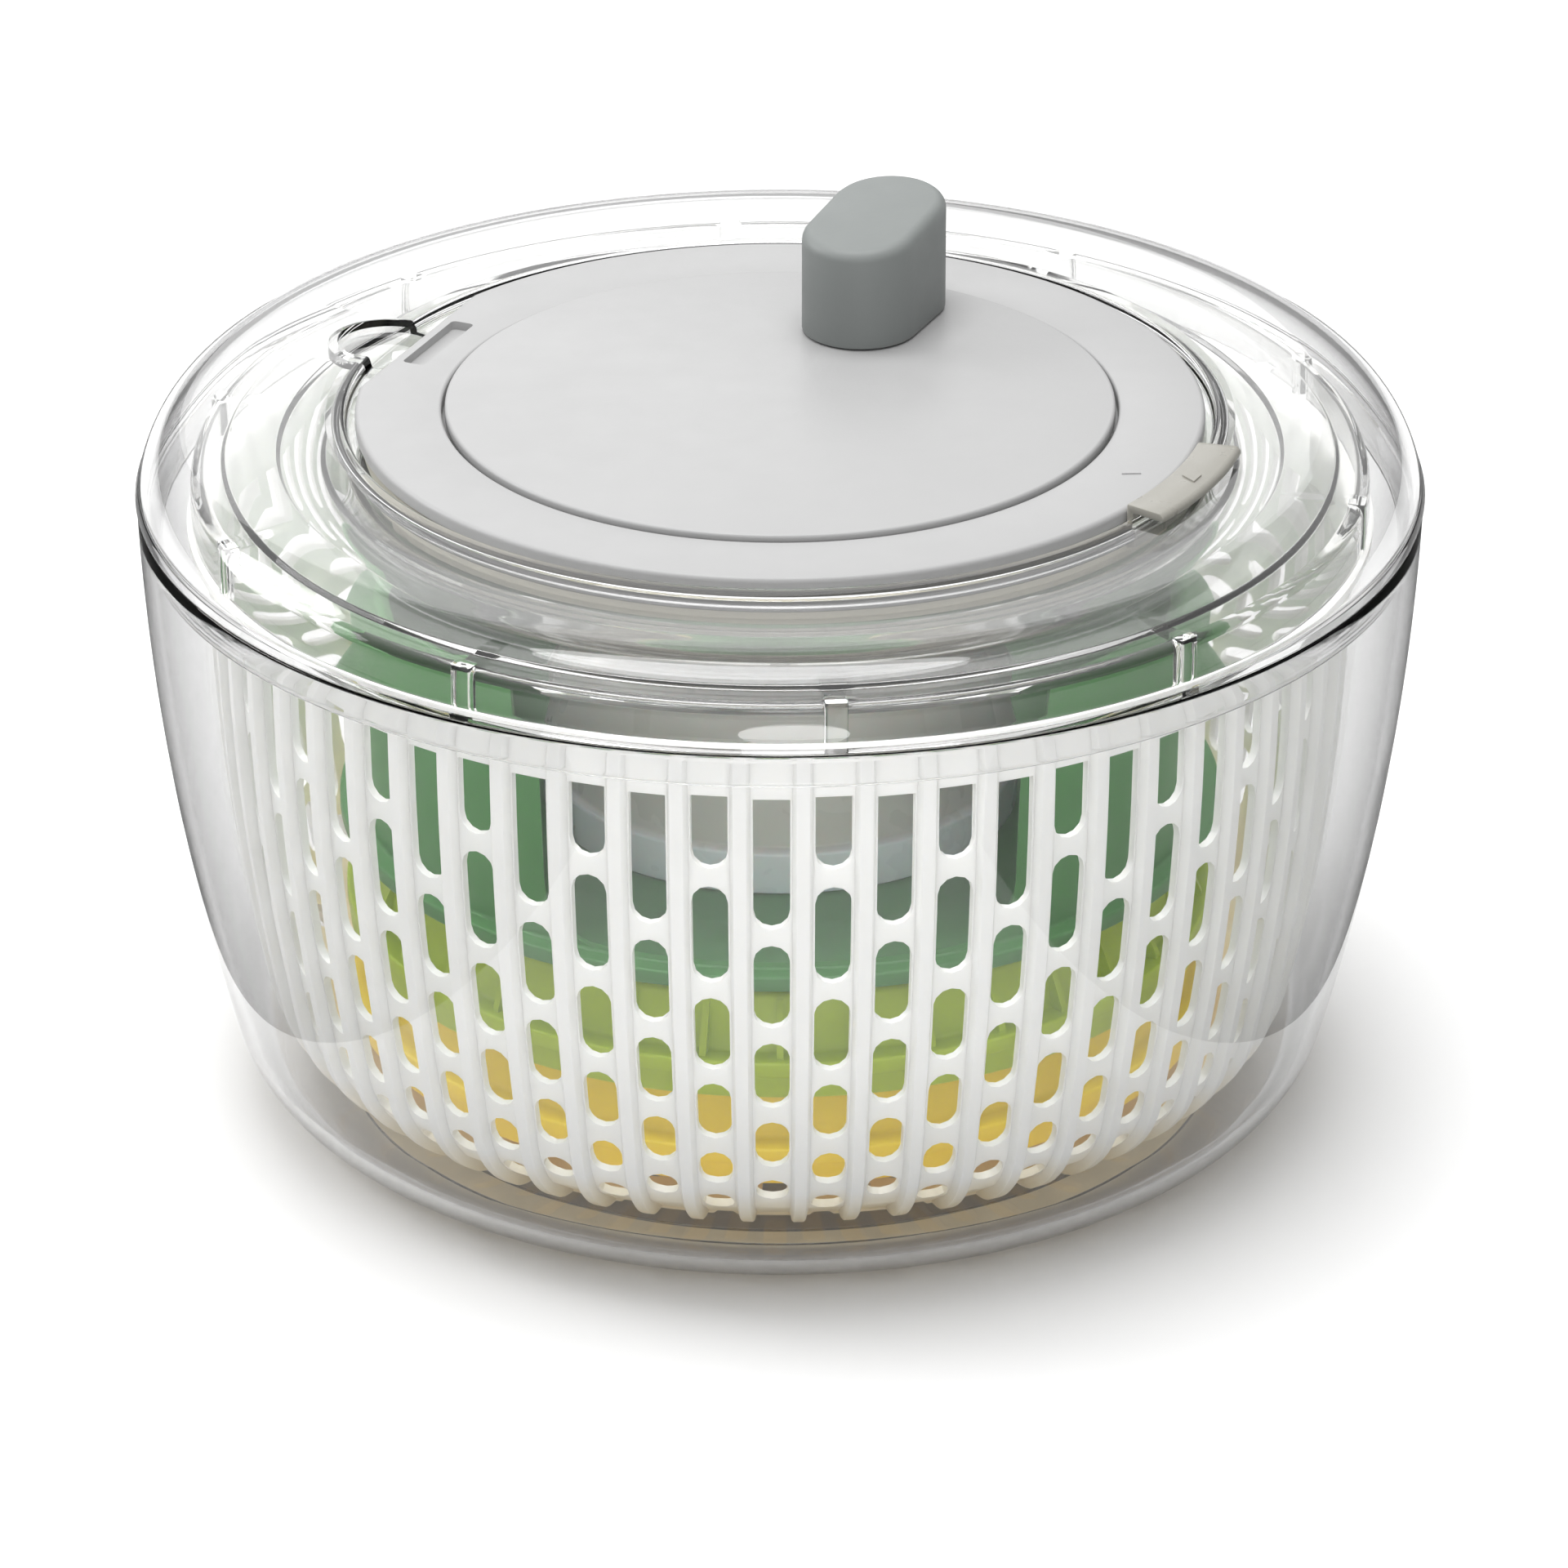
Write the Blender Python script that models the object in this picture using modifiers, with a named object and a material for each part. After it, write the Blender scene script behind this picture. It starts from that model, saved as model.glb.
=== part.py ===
"""Hand-cranked salad spinner: a clear bowl and lid, a slotted basket on a centre pivot, and a
planetary drive in the lid. Three nested cutting frames and a food holder are stored in the basket.

Sizes are in millimetres and become metres as each mesh is made. Z is up, the foot stands on Z = 0
and every turned piece is centred on the Z axis. The front of the spinner faces -Y.
"""

import math

import bmesh
import bpy
from mathutils import Matrix, Vector

MM = 0.001
SEAT = 0.3  # clearance between two pieces that rest on, or sit in, each other
RUN = 0.6  # clearance between two large faceted pieces that turn past each other

# Bowl: a clear moulded vessel whose wall is one long arc above a rounded corner.
BOWL_RIM_R = 132.0
BOWL_TOP = 131.7
BOWL_UNDERSIDE = 0.8
BOWL_WALL = 2.8
BOWL_CORNER_R = 21.0
BOWL_SIDE_R = 505.0
BOWL_TILT = math.radians(15)
FOOT_R = 88.0
FOOT_WIDTH = 7.4
FOOT_HEIGHT = 2.0

# Centre pivot that carries the basket.
PIN_R = 3.0
PIN_HEAD_R = 4.5
BOSS_R = 9.0
BOSS_TOP = 7.0

# Basket: columns of slots between ribs, a floor with radial slots and an outward lip.
BASKET_GAP = 15.0  # from the bowl's rim to the basket's
BASKET_DROP = 6.7  # from the bowl's top down to the basket's
BASKET_RIM_R = BOWL_RIM_R - BASKET_GAP
BASKET_TOP = BOWL_TOP - BASKET_DROP
BASKET_UNDERSIDE = BOSS_TOP + 2.5
BASKET_WALL = 2.0
BASKET_CORNER_R = 24.0
BASKET_SIDE_R = 437.0
BASKET_TILT = math.radians(12)
BASKET_LIP = 4.5
COLUMNS = 60
SLOT_SHARE = 0.6  # part of each column's pitch that is open
COLUMN_PHASE = math.radians(-0.8)
SLOT_ROWS = ((BASKET_TOP - 9.0, 74.0), (68.0, 32.0))
FLOOR_SLOT = (78.0, 48.0)
CUP_R = 8.0
PIN_TOP = BASKET_UNDERSIDE + 4.5

# Cutting frames: inverted trays that stack on their inner collars.
FRAME_SKIN = 1.8
FRAME_FLANGE_R = BASKET_RIM_R - 26.0
FRAME_FOOT_R = FRAME_FLANGE_R - 5.0
FRAME_TOP_R = FRAME_FOOT_R - 2.0
FRAME_COLLAR_R = 60.0
SLICER_TOP, SLICER_FLANGE, SLICER_HEM = 36.5, 25.3, 22.4
GRATER_TOP, GRATER_FLANGE, GRATER_HEM = 57.0, 44.8, 36.8
SPIRAL_PLATE, SPIRAL_FLANGE, SPIRAL_HEM = 61.5, 64.5, 62.0
SPIRAL_WALL_R = FRAME_FLANGE_R - 3.0
SPIRAL_WING_TOP = 119.0
SPIRAL_GAP = 98.0  # width of the gaps at the front and back, between the two wings
BLADE_SIZE = (72.0, 30.0)
BLADE_WINDOW = (60.0, 14.0)
BLADE_SHEET = 0.8

# Food holder: an open-bottomed cup with a thicker foot and a grip.
HOLDER_R = 47.5
HOLDER_FOOT_R = 49.5
HOLDER_FOOT_HEIGHT = 9.0
HOLDER_CROWN = 104.0
HOLDER_GRIP_R = 14.0
HOLDER_TOP = 118.0
HOLDER_SKIN = 2.0

# Lid: a flat top with a soft shoulder, a skirt inside the bowl and a seat for the drive.
LID_OVERHANG = 0.5
LID_RISE = 16.5
LID_R = BOWL_RIM_R + LID_OVERHANG
LID_TOP = BOWL_TOP + LID_RISE
LID_FLAT_R = LID_R - 19.5
LID_SHOULDER_Z = BOWL_TOP - 4.7
LID_SHOULDER_POWERS = (3.1, 1.9)
LID_WALL = 2.4
LID_EDGE = BOWL_TOP + 1.8
LID_SKIRT = 8.0
LID_SKIRT_WALL = 2.0
LID_LEDGE = LID_TOP - 2.5
LID_COLLAR_R = 88.6
LID_HOLE_R = LID_COLLAR_R - 8.0
SCOOP_R = 10.5
SCOOP_FLOOR = LID_LEDGE - 0.7
SCOOP_DISTANCE = LID_COLLAR_R + 1.0
SCOOP_ANGLE = math.radians(156)

# Drive: lock ring and crank above the lid, gear case below it.
RING_R = LID_COLLAR_R - 1.6
RING_TOP = LID_TOP + 0.8
RING_PLATE = 3.0
RING_NECK_INNER = LID_HOLE_R - 7.6
RING_NECK_FOOT = LID_LEDGE - 4.7
RING_LEDGE = 2.0
RING_CHORD = RING_R - 4.2
GRIP_SLOT = (24.0, 5.0)
GRIP_SLOT_DISTANCE = RING_R - 9.2
GRIP_SLOT_FLOOR = LID_LEDGE - 2.5
CRANK_R = 68.6
CRANK_TOP = RING_TOP + 1.0
CRANK_SHEET = 2.6
BUSH = 1.0
RING_LEDGE_R = CRANK_R - 6.6
RING_LEDGE_TOP = CRANK_TOP - CRANK_SHEET - BUSH - 2 * SEAT
CASE_R = LID_HOLE_R - 1.6
CASE_WALL = 4.0
CASE_UNDERSIDE = LID_LEDGE - 12.7
CASE_FLOOR = 2.2
CASE_FLANGE_R = LID_HOLE_R + 3.4
TAB_ANGLE = math.radians(-26.5)
TAB_SPAN = math.radians(23)
TAB_R = RING_R + 9.5
TAB_SHEET = 1.8

# Gears: a ring gear under the crank turns three planets, and they turn the sun on the output shaft.
SUN_TEETH = 18
PLANET_TEETH = 18
RING_TEETH = 54
PLANETS = 3
TOOTH_SHARE = 0.4  # tooth thickness at the pitch circle, as a part of the pitch
PRESSURE = math.radians(20)
ROOT_DEPTH = 1.25  # in modules
RING_GEAR_R = CRANK_R - 2.6
RING_GEAR_NECK_R = RING_LEDGE_R - 1.0
MODULE = (RING_GEAR_NECK_R - 4.5) / (RING_TEETH / 2 + ROOT_DEPTH)
GEAR_FOOT = CASE_UNDERSIDE + CASE_FLOOR + 1.0
GEAR_TOP = GEAR_FOOT + 7.0
SHAFT_R = 6.0
AXLE_R = 2.5
AXLE_SOCKET = 1.4
SCREW_R = 2.0
SCREW_HEAD_R = 5.0

# Inner cover: the turning disc that caps the basket and drives it with its lugs.
COVER_R = BASKET_RIM_R + 3.2
COVER_WALL = 1.8
COVER_TOP = BASKET_TOP + 13.6
COVER_DISH_R = CASE_R + 5.0
COVER_DISH = CASE_UNDERSIDE - 2.4
LUGS = 10
LUG_WIDTH = 4.5
LUG_DEPTH = 3.4
LUG_FOOT = BASKET_TOP + 0.2

# Knob: a stadium shape, longer along the crank's radius, with a top that rises outwards.
KNOB_DISTANCE = CRANK_R - 21.2
KNOB_ANGLE = math.radians(65.6)
KNOB_R = 12.2
KNOB_HALF = 7.0
KNOB_HEIGHT = 23.2
KNOB_SLOPE = math.radians(5.5)
KNOB_EDGE = 2.4
SPINDLE_R = 4.0
SPINDLE_FLANGE_R = 7.0
SPINDLE_FLANGE = 1.6
SPINDLE_LENGTH = 15.0

BIG_STEPS = 36
MID_STEPS = 28
SMALL_STEPS = 16


def clear_scene():
    for obj in list(bpy.data.objects):
        bpy.data.objects.remove(obj)


def collection(name, shown=True):
    made = bpy.data.collections.new(name)
    bpy.context.scene.collection.children.link(made)
    made.hide_render = not shown
    return made


def plastic(name, colour, roughness, metallic=0.0, alpha=1.0):
    made = bpy.data.materials.new(name)
    made.use_nodes = True
    shader = made.node_tree.nodes["Principled BSDF"]
    shader.inputs["Base Color"].default_value = (*colour, 1.0)
    shader.inputs["Roughness"].default_value = roughness
    shader.inputs["Metallic"].default_value = metallic
    shader.inputs["Alpha"].default_value = alpha
    return made


clear_scene()
SPINNER = collection("salad_spinner")
CUTTERS = collection("cutters", shown=False)

CLEAR = plastic("clear_plastic", (0.93, 0.94, 0.95), 0.06, alpha=0.3)
MILKY = plastic("milky_plastic", (0.86, 0.86, 0.83), 0.35)
CREAM = plastic("cream_plastic", (0.74, 0.71, 0.63), 0.4)
PALE_GREY = plastic("pale_grey_plastic", (0.66, 0.67, 0.67), 0.45)
KNOB_GREY = plastic("knob_grey_plastic", (0.32, 0.34, 0.34), 0.5)
DARK_GREEN = plastic("dark_green_plastic", (0.06, 0.24, 0.08), 0.35)
LIME = plastic("lime_plastic", (0.33, 0.5, 0.04), 0.35)
YELLOW = plastic("yellow_plastic", (0.85, 0.6, 0.02), 0.35)
GEAR_WHITE = plastic("acetal", (0.8, 0.8, 0.78), 0.4)
STEEL = plastic("steel", (0.6, 0.6, 0.62), 0.25, metallic=1.0)
FOOT_CREAM = plastic("foot_rubber", (0.66, 0.6, 0.44), 0.6)


def add(name, mesh, material=None, home=SPINNER):
    """A new object of this mesh. Without a material it is a cutter, kept out of renders."""
    obj = bpy.data.objects.new(name, mesh)
    home.objects.link(obj)
    if material:
        mesh.materials.append(material)
    else:
        obj.hide_render = True
        obj.display_type = "WIRE"
    return obj


def outline_mesh(name, points, closed):
    """Edges through the (radius, height) points, in the XZ plane."""
    mesh = bpy.data.meshes.new(name)
    vertices = [(r * MM, 0.0, z * MM) for r, z in points]
    edges = [(i, i + 1) for i in range(len(points) - 1)]
    if closed:
        edges.append((len(points) - 1, 0))
    mesh.from_pydata(vertices, edges, [])
    return mesh


def turned(name, points, material=None, steps=BIG_STEPS, home=SPINNER):
    """A turned solid. Its profile runs down the outer side, and is a loop unless it ends on the axis."""
    closed = points[0][0] > 0
    obj = add(name, outline_mesh(name, points, closed), material, home)
    screw = obj.modifiers.new("turn", "SCREW")
    screw.axis = "Z"
    screw.steps = screw.render_steps = steps
    screw.use_merge_vertices = True
    screw.merge_threshold = 0.00001
    return obj


def drilled(obj, cutter, operation="DIFFERENCE"):
    cut = obj.modifiers.new(cutter.name, "BOOLEAN")
    cut.operation = operation
    cut.object = cutter
    cut.solver = "EXACT"
    return obj


def cylinder(name, radius, foot, top, centre=(0.0, 0.0), material=None, steps=SMALL_STEPS):
    home = SPINNER if material else CUTTERS
    mesh = bpy.data.meshes.new(name)
    shape = bmesh.new()
    bmesh.ops.create_cone(
        shape, cap_ends=True, segments=steps, radius1=radius * MM, radius2=radius * MM,
        depth=(top - foot) * MM)
    shape.to_mesh(mesh)
    shape.free()
    obj = add(name, mesh, material, home)
    obj.location = (centre[0] * MM, centre[1] * MM, (foot + top) / 2 * MM)
    return obj


def block(name, size, centre, turn=0.0, material=None):
    """A box of this size at this centre, turned about its own vertical axis."""
    home = SPINNER if material else CUTTERS
    mesh = bpy.data.meshes.new(name)
    shape = bmesh.new()
    bmesh.ops.create_cube(shape, size=1.0)
    bmesh.ops.scale(shape, vec=Vector(size) * MM, verts=shape.verts)
    shape.to_mesh(mesh)
    shape.free()
    obj = add(name, mesh, material, home)
    obj.location = Vector(centre) * MM
    obj.rotation_euler = (0.0, 0.0, turn)
    return obj


def plan_point(distance, angle):
    return (distance * math.cos(angle), distance * math.sin(angle))


def extruded(name, loops, foot, top, material=None):
    """A flat outline with its holes, given as loops of (x, y) points, raised from foot to top."""
    curve = bpy.data.curves.new(name, "CURVE")
    curve.dimensions = "2D"
    curve.fill_mode = "BOTH"
    curve.extrude = (top - foot) / 2 * MM
    for points in loops:
        spline = curve.splines.new("POLY")
        spline.points.add(len(points) - 1)
        for place, (x, y) in zip(spline.points, points):
            place.co = (x * MM, y * MM, 0.0, 1.0)
        spline.use_cyclic_u = True
    obj = bpy.data.objects.new(name, curve)
    SPINNER.objects.link(obj)
    obj.location.z = (foot + top) / 2 * MM
    return as_mesh(obj, name, material)


def as_mesh(curve_object, name, material):
    """The curve object replaced by a mesh object of the same shape and place, with its caps welded."""
    bpy.context.view_layer.update()
    graph = bpy.context.evaluated_depsgraph_get()
    mesh = bpy.data.meshes.new_from_object(curve_object.evaluated_get(graph))
    shape = bmesh.new()
    shape.from_mesh(mesh)
    bmesh.ops.remove_doubles(shape, verts=shape.verts, dist=0.000001)
    bmesh.ops.recalc_face_normals(shape, faces=shape.faces)
    shape.to_mesh(mesh)
    shape.free()
    place = curve_object.matrix_world.copy()
    bpy.data.objects.remove(curve_object)
    made = add(name, mesh, material, SPINNER if material else CUTTERS)
    made.matrix_world = place
    return made


def vessel(rim_r, top, underside, corner_r, side_r, tilt, inset=0.0, side_points=4, corner_points=3):
    """(radius, height) points of a vessel's side, from the rim down to the edge of its flat floor.

    The side is an arc that leans out by tilt where it meets the corner arc. inset moves the
    whole line inwards, which gives the inner face of a wall of that thickness.
    """
    corner_z = underside + corner_r
    side_z = corner_z + (side_r - corner_r) * math.sin(tilt)
    top_angle = math.asin((top - side_z) / side_r)
    side_x = rim_r - side_r * math.cos(top_angle)
    corner_x = side_x + (side_r - corner_r) * math.cos(tilt)
    points = []
    for i in range(side_points):
        angle = top_angle + (-tilt - top_angle) * i / side_points
        points.append((side_x + (side_r - inset) * math.cos(angle),
                       side_z + (side_r - inset) * math.sin(angle)))
    for i in range(corner_points + 1):
        angle = -tilt + (tilt - math.pi / 2) * i / corner_points
        points.append((corner_x + (corner_r - inset) * math.cos(angle),
                       corner_z + (corner_r - inset) * math.sin(angle)))
    return points


def bowl():
    shape = (BOWL_RIM_R, BOWL_TOP, BOWL_UNDERSIDE, BOWL_CORNER_R, BOWL_SIDE_R, BOWL_TILT)
    outer = vessel(*shape)
    inner = vessel(*shape, inset=BOWL_WALL)
    inner[0] = (inner[0][0], BOWL_TOP)
    groove_top = FOOT_HEIGHT + SEAT
    groove_half = FOOT_WIDTH / 2 + SEAT
    floor = BOWL_UNDERSIDE + BOWL_WALL
    socket_r = PIN_R + SEAT
    socket_floor = BOWL_UNDERSIDE + BOWL_WALL / 2
    points = [(0.0, socket_floor), (socket_r, socket_floor), (socket_r, BOSS_TOP),
              (BOSS_R, BOSS_TOP), (BOSS_R + BOSS_TOP - floor, floor)]
    points += inner[::-1] + outer
    points += [(FOOT_R + groove_half, BOWL_UNDERSIDE), (FOOT_R + groove_half, groove_top),
               (FOOT_R - groove_half, groove_top), (FOOT_R - groove_half, BOWL_UNDERSIDE),
               (0.0, BOWL_UNDERSIDE)]
    turned("bowl", points, CLEAR)
    half = FOOT_WIDTH / 2
    turned("foot_ring", [(FOOT_R - half, FOOT_HEIGHT), (FOOT_R + half, FOOT_HEIGHT),
                         (FOOT_R + half, 0.0), (FOOT_R - half, 0.0)], FOOT_CREAM)


def pivot():
    pin_foot = BOWL_UNDERSIDE + BOWL_WALL / 2 + SEAT
    head_foot = BOSS_TOP + SEAT
    turned("pivot_pin", [(0.0, PIN_TOP), (PIN_HEAD_R - 1.5, PIN_TOP - 0.5),
                         (PIN_HEAD_R, PIN_TOP - 2.5), (PIN_HEAD_R, head_foot),
                         (PIN_R, head_foot), (PIN_R, pin_foot), (0.0, pin_foot)],
           GEAR_WHITE, SMALL_STEPS)
    floor_top = BASKET_UNDERSIDE + BASKET_WALL
    bore = PIN_HEAD_R + SEAT
    bore_top = PIN_TOP + SEAT
    cup_foot = BASKET_UNDERSIDE - 1.0
    cup_top = bore_top + 2.0
    flange_top = floor_top + SEAT + 1.6
    turned("pivot_cup", [(0.0, cup_top), (CUP_R - SEAT, cup_top), (CUP_R - SEAT, flange_top),
                         (CUP_R + 5.0, flange_top), (CUP_R + 5.0, floor_top + SEAT),
                         (CUP_R - SEAT, floor_top + SEAT), (CUP_R - SEAT, cup_foot),
                         (bore, cup_foot), (bore, bore_top), (0.0, bore_top)],
           GEAR_WHITE, SMALL_STEPS)


def point_at_height(line, z):
    """The point at this height on a line of (radius, height) points that runs downwards."""
    for (r0, z0), (r1, z1) in zip(line, line[1:]):
        if z0 >= z >= z1:
            return (r0 + (r1 - r0) * (z0 - z) / (z0 - z1), z)
    raise ValueError(f"no point of the line is at height {z}")


def basket_rows():
    """The basket's outer line, lip to centre hole, as ((radius, height), what opens below it).

    Returns the rows down to the foot of the last slots, and the rows of the corner and floor.
    """
    side = vessel(BASKET_RIM_R, BASKET_TOP, BASKET_UNDERSIDE, BASKET_CORNER_R, BASKET_SIDE_R,
                  BASKET_TILT, side_points=12, corner_points=2)
    wall = [((BASKET_RIM_R + BASKET_LIP, BASKET_TOP), "lug notch"), (side[0], "")]
    for head, foot in SLOT_ROWS:
        wall.append((point_at_height(side, head), "slot"))
        wall.append((point_at_height(side, foot), ""))
    floor = [(point, "") for point in side[-3:]]
    outer, inner = FLOOR_SLOT
    floor += [((outer, BASKET_UNDERSIDE), "floor slot"), ((inner, BASKET_UNDERSIDE), ""),
              ((CUP_R, BASKET_UNDERSIDE), "")]
    return wall, floor


def is_open(kind, column):
    """Whether this column is cut away in a row of this kind."""
    if kind == "slot":
        return True
    if kind == "floor slot":
        return column % 2 == 0
    return kind == "lug notch" and column % (COLUMNS // LUGS) == 1


def upright(shape, rows, angle):
    """A line of vertices down these rows at this angle round the axis."""
    return [shape.verts.new((*(MM * value for value in plan_point(r, angle)), z * MM))
            for (r, z), _ in rows]


def basket():
    """A wall of slots and ribs over a floor of slots, one column at a time, then made 2 mm thick."""
    wall, floor = basket_rows()
    pitch = 2 * math.pi / COLUMNS
    shape = bmesh.new()
    columns = []
    for column in range(COLUMNS):
        middle = COLUMN_PHASE - math.pi / 2 + column * pitch
        start = middle - pitch * SLOT_SHARE / 2
        columns.append((upright(shape, wall, start), upright(shape, wall, start + pitch * SLOT_SHARE),
                        upright(shape, floor, start)))
    for column, (start, end, below) in enumerate(columns):
        following, _, below_next = columns[(column + 1) % COLUMNS]
        for row in range(len(wall) - 1):
            if not is_open(wall[row][1], column):
                shape.faces.new((start[row], start[row + 1], end[row + 1], end[row]))
            shape.faces.new((end[row], end[row + 1], following[row + 1], following[row]))
        shape.faces.new((start[-1], below[0], below_next[0], following[-1], end[-1]))
        for row in range(len(floor) - 1):
            if not is_open(floor[row][1], column):
                shape.faces.new((below[row], below[row + 1], below_next[row + 1], below_next[row]))
    mesh = bpy.data.meshes.new("basket")
    shape.to_mesh(mesh)
    shape.free()
    obj = add("basket", mesh, MILKY)
    thickness = obj.modifiers.new("wall", "SOLIDIFY")
    thickness.thickness = BASKET_WALL * MM
    thickness.offset = -1.0


def stacking_frame(name, top, flange, hem, stands_on, material):
    """An inverted tray: plate, flared side, flange with a hem, and a collar down to what it stands on."""
    skin = FRAME_SKIN
    under_flange = flange - skin
    return turned(name, [
        (0.0, top), (FRAME_TOP_R, top), (FRAME_FOOT_R, flange), (FRAME_FLANGE_R, flange),
        (FRAME_FLANGE_R, hem), (FRAME_FLANGE_R - skin, hem), (FRAME_FLANGE_R - skin, under_flange),
        (FRAME_FOOT_R - skin, under_flange), (FRAME_TOP_R - skin, top - skin),
        (FRAME_COLLAR_R, top - skin), (FRAME_COLLAR_R, stands_on + SEAT),
        (FRAME_COLLAR_R - skin, stands_on + SEAT), (FRAME_COLLAR_R - skin, top - skin),
        (0.0, top - skin)], material, MID_STEPS)


def blade(name, frame, plate):
    """A steel sheet on a frame's plate, over a window that the cut food drops through."""
    window = block(name + "_window", (*BLADE_WINDOW, 4 * FRAME_SKIN), (0.0, 0.0, plate))
    drilled(frame, window)
    sheet_z = plate + SEAT + BLADE_SHEET / 2
    sheet = block(name, (*BLADE_SIZE, BLADE_SHEET), (0.0, 0.0, sheet_z), material=STEEL)
    mouth = block(name + "_mouth", (BLADE_WINDOW[0], BLADE_WINDOW[1] / 3, 4 * BLADE_SHEET),
                  (0.0, 0.0, sheet_z))
    drilled(sheet, mouth)


def cutting_frames():
    basket_floor = BASKET_UNDERSIDE + BASKET_WALL
    slicer = stacking_frame("slicer_frame", SLICER_TOP, SLICER_FLANGE, SLICER_HEM, basket_floor, YELLOW)
    blade("slicer_blade", slicer, SLICER_TOP)
    grater = stacking_frame("grater_frame", GRATER_TOP, GRATER_FLANGE, GRATER_HEM, SLICER_TOP, LIME)
    blade("grater_blade", grater, GRATER_TOP)
    spiral = spiral_frame()
    blade("spiral_blade", spiral, SPIRAL_PLATE)


def spiral_frame():
    """The tall frame: a dished plate inside a wall, with gaps at front and back that leave two wings."""
    skin = FRAME_SKIN
    wall = SPIRAL_WALL_R
    flange_r = FRAME_FLANGE_R + 1.0
    under_flange = SPIRAL_FLANGE - skin
    under_plate = SPIRAL_PLATE - skin
    flat_r = FRAME_COLLAR_R + 2.0
    stand = GRATER_TOP + SEAT
    obj = turned("spiral_frame", [
        (0.0, SPIRAL_PLATE), (flat_r, SPIRAL_PLATE), (wall - skin, SPIRAL_FLANGE),
        (wall - skin, SPIRAL_WING_TOP), (wall, SPIRAL_WING_TOP), (wall, SPIRAL_FLANGE),
        (flange_r, SPIRAL_FLANGE), (flange_r, SPIRAL_HEM), (flange_r - skin, SPIRAL_HEM),
        (flange_r - skin, under_flange), (wall - skin, under_flange), (flat_r, under_plate),
        (FRAME_COLLAR_R, under_plate), (FRAME_COLLAR_R, stand), (FRAME_COLLAR_R - skin, stand),
        (FRAME_COLLAR_R - skin, under_plate), (0.0, under_plate)], DARK_GREEN, MID_STEPS)
    sill = SPIRAL_FLANGE + SEAT
    top = SPIRAL_WING_TOP + skin
    gap = block("wing_gap", (SPIRAL_GAP, 4 * wall, top - sill), (0.0, 0.0, (top + sill) / 2))
    return drilled(obj, gap)


def food_holder():
    foot = SPIRAL_PLATE + SEAT
    skin = HOLDER_SKIN
    turned("food_holder", [
        (0.0, HOLDER_TOP), (HOLDER_GRIP_R - 2.0, HOLDER_TOP), (HOLDER_GRIP_R, HOLDER_TOP - 2.0),
        (HOLDER_GRIP_R - 3.0, HOLDER_CROWN + 2.0), (HOLDER_R - 2.0, HOLDER_CROWN),
        (HOLDER_R, HOLDER_CROWN - 2.0), (HOLDER_R, foot + HOLDER_FOOT_HEIGHT),
        (HOLDER_FOOT_R, foot + HOLDER_FOOT_HEIGHT), (HOLDER_FOOT_R, foot), (HOLDER_R - skin, foot),
        (HOLDER_R - skin, HOLDER_CROWN - 2 * skin), (HOLDER_GRIP_R, HOLDER_CROWN - skin),
        (0.0, HOLDER_CROWN - skin)], MILKY, MID_STEPS)


def lid_shoulder(inset, points=4):
    """The lid's shoulder, from the edge of its flat top down to its widest, as a superellipse."""
    power_r, power_z = LID_SHOULDER_POWERS
    reach = LID_R - inset - LID_FLAT_R
    rise = LID_TOP - inset - LID_SHOULDER_Z
    start = math.asin(((LID_EDGE - LID_SHOULDER_Z) / rise) ** (power_z / 2))
    line = []
    for i in range(points + 1):
        angle = math.pi / 2 + (start - math.pi / 2) * i / points
        line.append((LID_FLAT_R + reach * max(math.cos(angle), 0.0) ** (2 / power_r),
                     LID_SHOULDER_Z + rise * math.sin(angle) ** (2 / power_z)))
    return line


def lid():
    rim = BOWL_TOP + SEAT
    skirt_r = BOWL_RIM_R - BOWL_WALL - RUN
    under_ledge = LID_LEDGE - LID_WALL
    points = [(LID_HOLE_R, LID_LEDGE), (LID_COLLAR_R, LID_LEDGE), (LID_COLLAR_R + 0.8, LID_TOP)]
    points += lid_shoulder(0.0)
    points += [(LID_R, rim), (skirt_r, rim), (skirt_r, rim - LID_SKIRT),
               (skirt_r - LID_SKIRT_WALL, rim - LID_SKIRT)]
    points += [point for point in lid_shoulder(LID_WALL)[::-1] if point[1] > rim - LID_SKIRT]
    points += [(LID_COLLAR_R + LID_WALL, LID_TOP - LID_WALL), (LID_COLLAR_R + LID_WALL, under_ledge),
               (LID_HOLE_R, under_ledge)]
    obj = turned("lid", points, CLEAR)
    x, y = plan_point(SCOOP_DISTANCE, SCOOP_ANGLE)
    shell = cylinder("scoop_shell", SCOOP_R + 2.0, under_ledge + 0.2, LID_TOP - 0.5, (x, y))
    drilled(shell, cylinder("ring_room", LID_COLLAR_R + 0.9, LID_LEDGE - 0.5, LID_TOP, steps=BIG_STEPS))
    pocket = cylinder("scoop_pocket", SCOOP_R, SCOOP_FLOOR, LID_TOP + 5.0, (x, y))
    hole = cylinder("lid_hole", LID_HOLE_R, CASE_UNDERSIDE, LID_TOP + 6.0, steps=BIG_STEPS)
    drilled(obj, shell, "UNION")
    drilled(obj, pocket)
    drilled(obj, hole)
    drilled(obj, tab_sector("tab_window", TAB_SPAN + math.radians(2),
                            LID_HOLE_R - 2.0, LID_COLLAR_R + 1.4, CASE_UNDERSIDE, LID_TOP + 3.0))


def tab_sector(name, span, inner, outer, foot, top):
    """A cutter: a slice of a ring, centred on the lock tab's direction."""
    steps = 6
    arc = [TAB_ANGLE + span * (i / steps - 0.5) for i in range(steps + 1)]
    loop = [plan_point(outer, angle) for angle in arc]
    loop += [plan_point(inner, angle) for angle in reversed(arc)]
    return extruded(name, [loop], foot, top)


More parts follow.
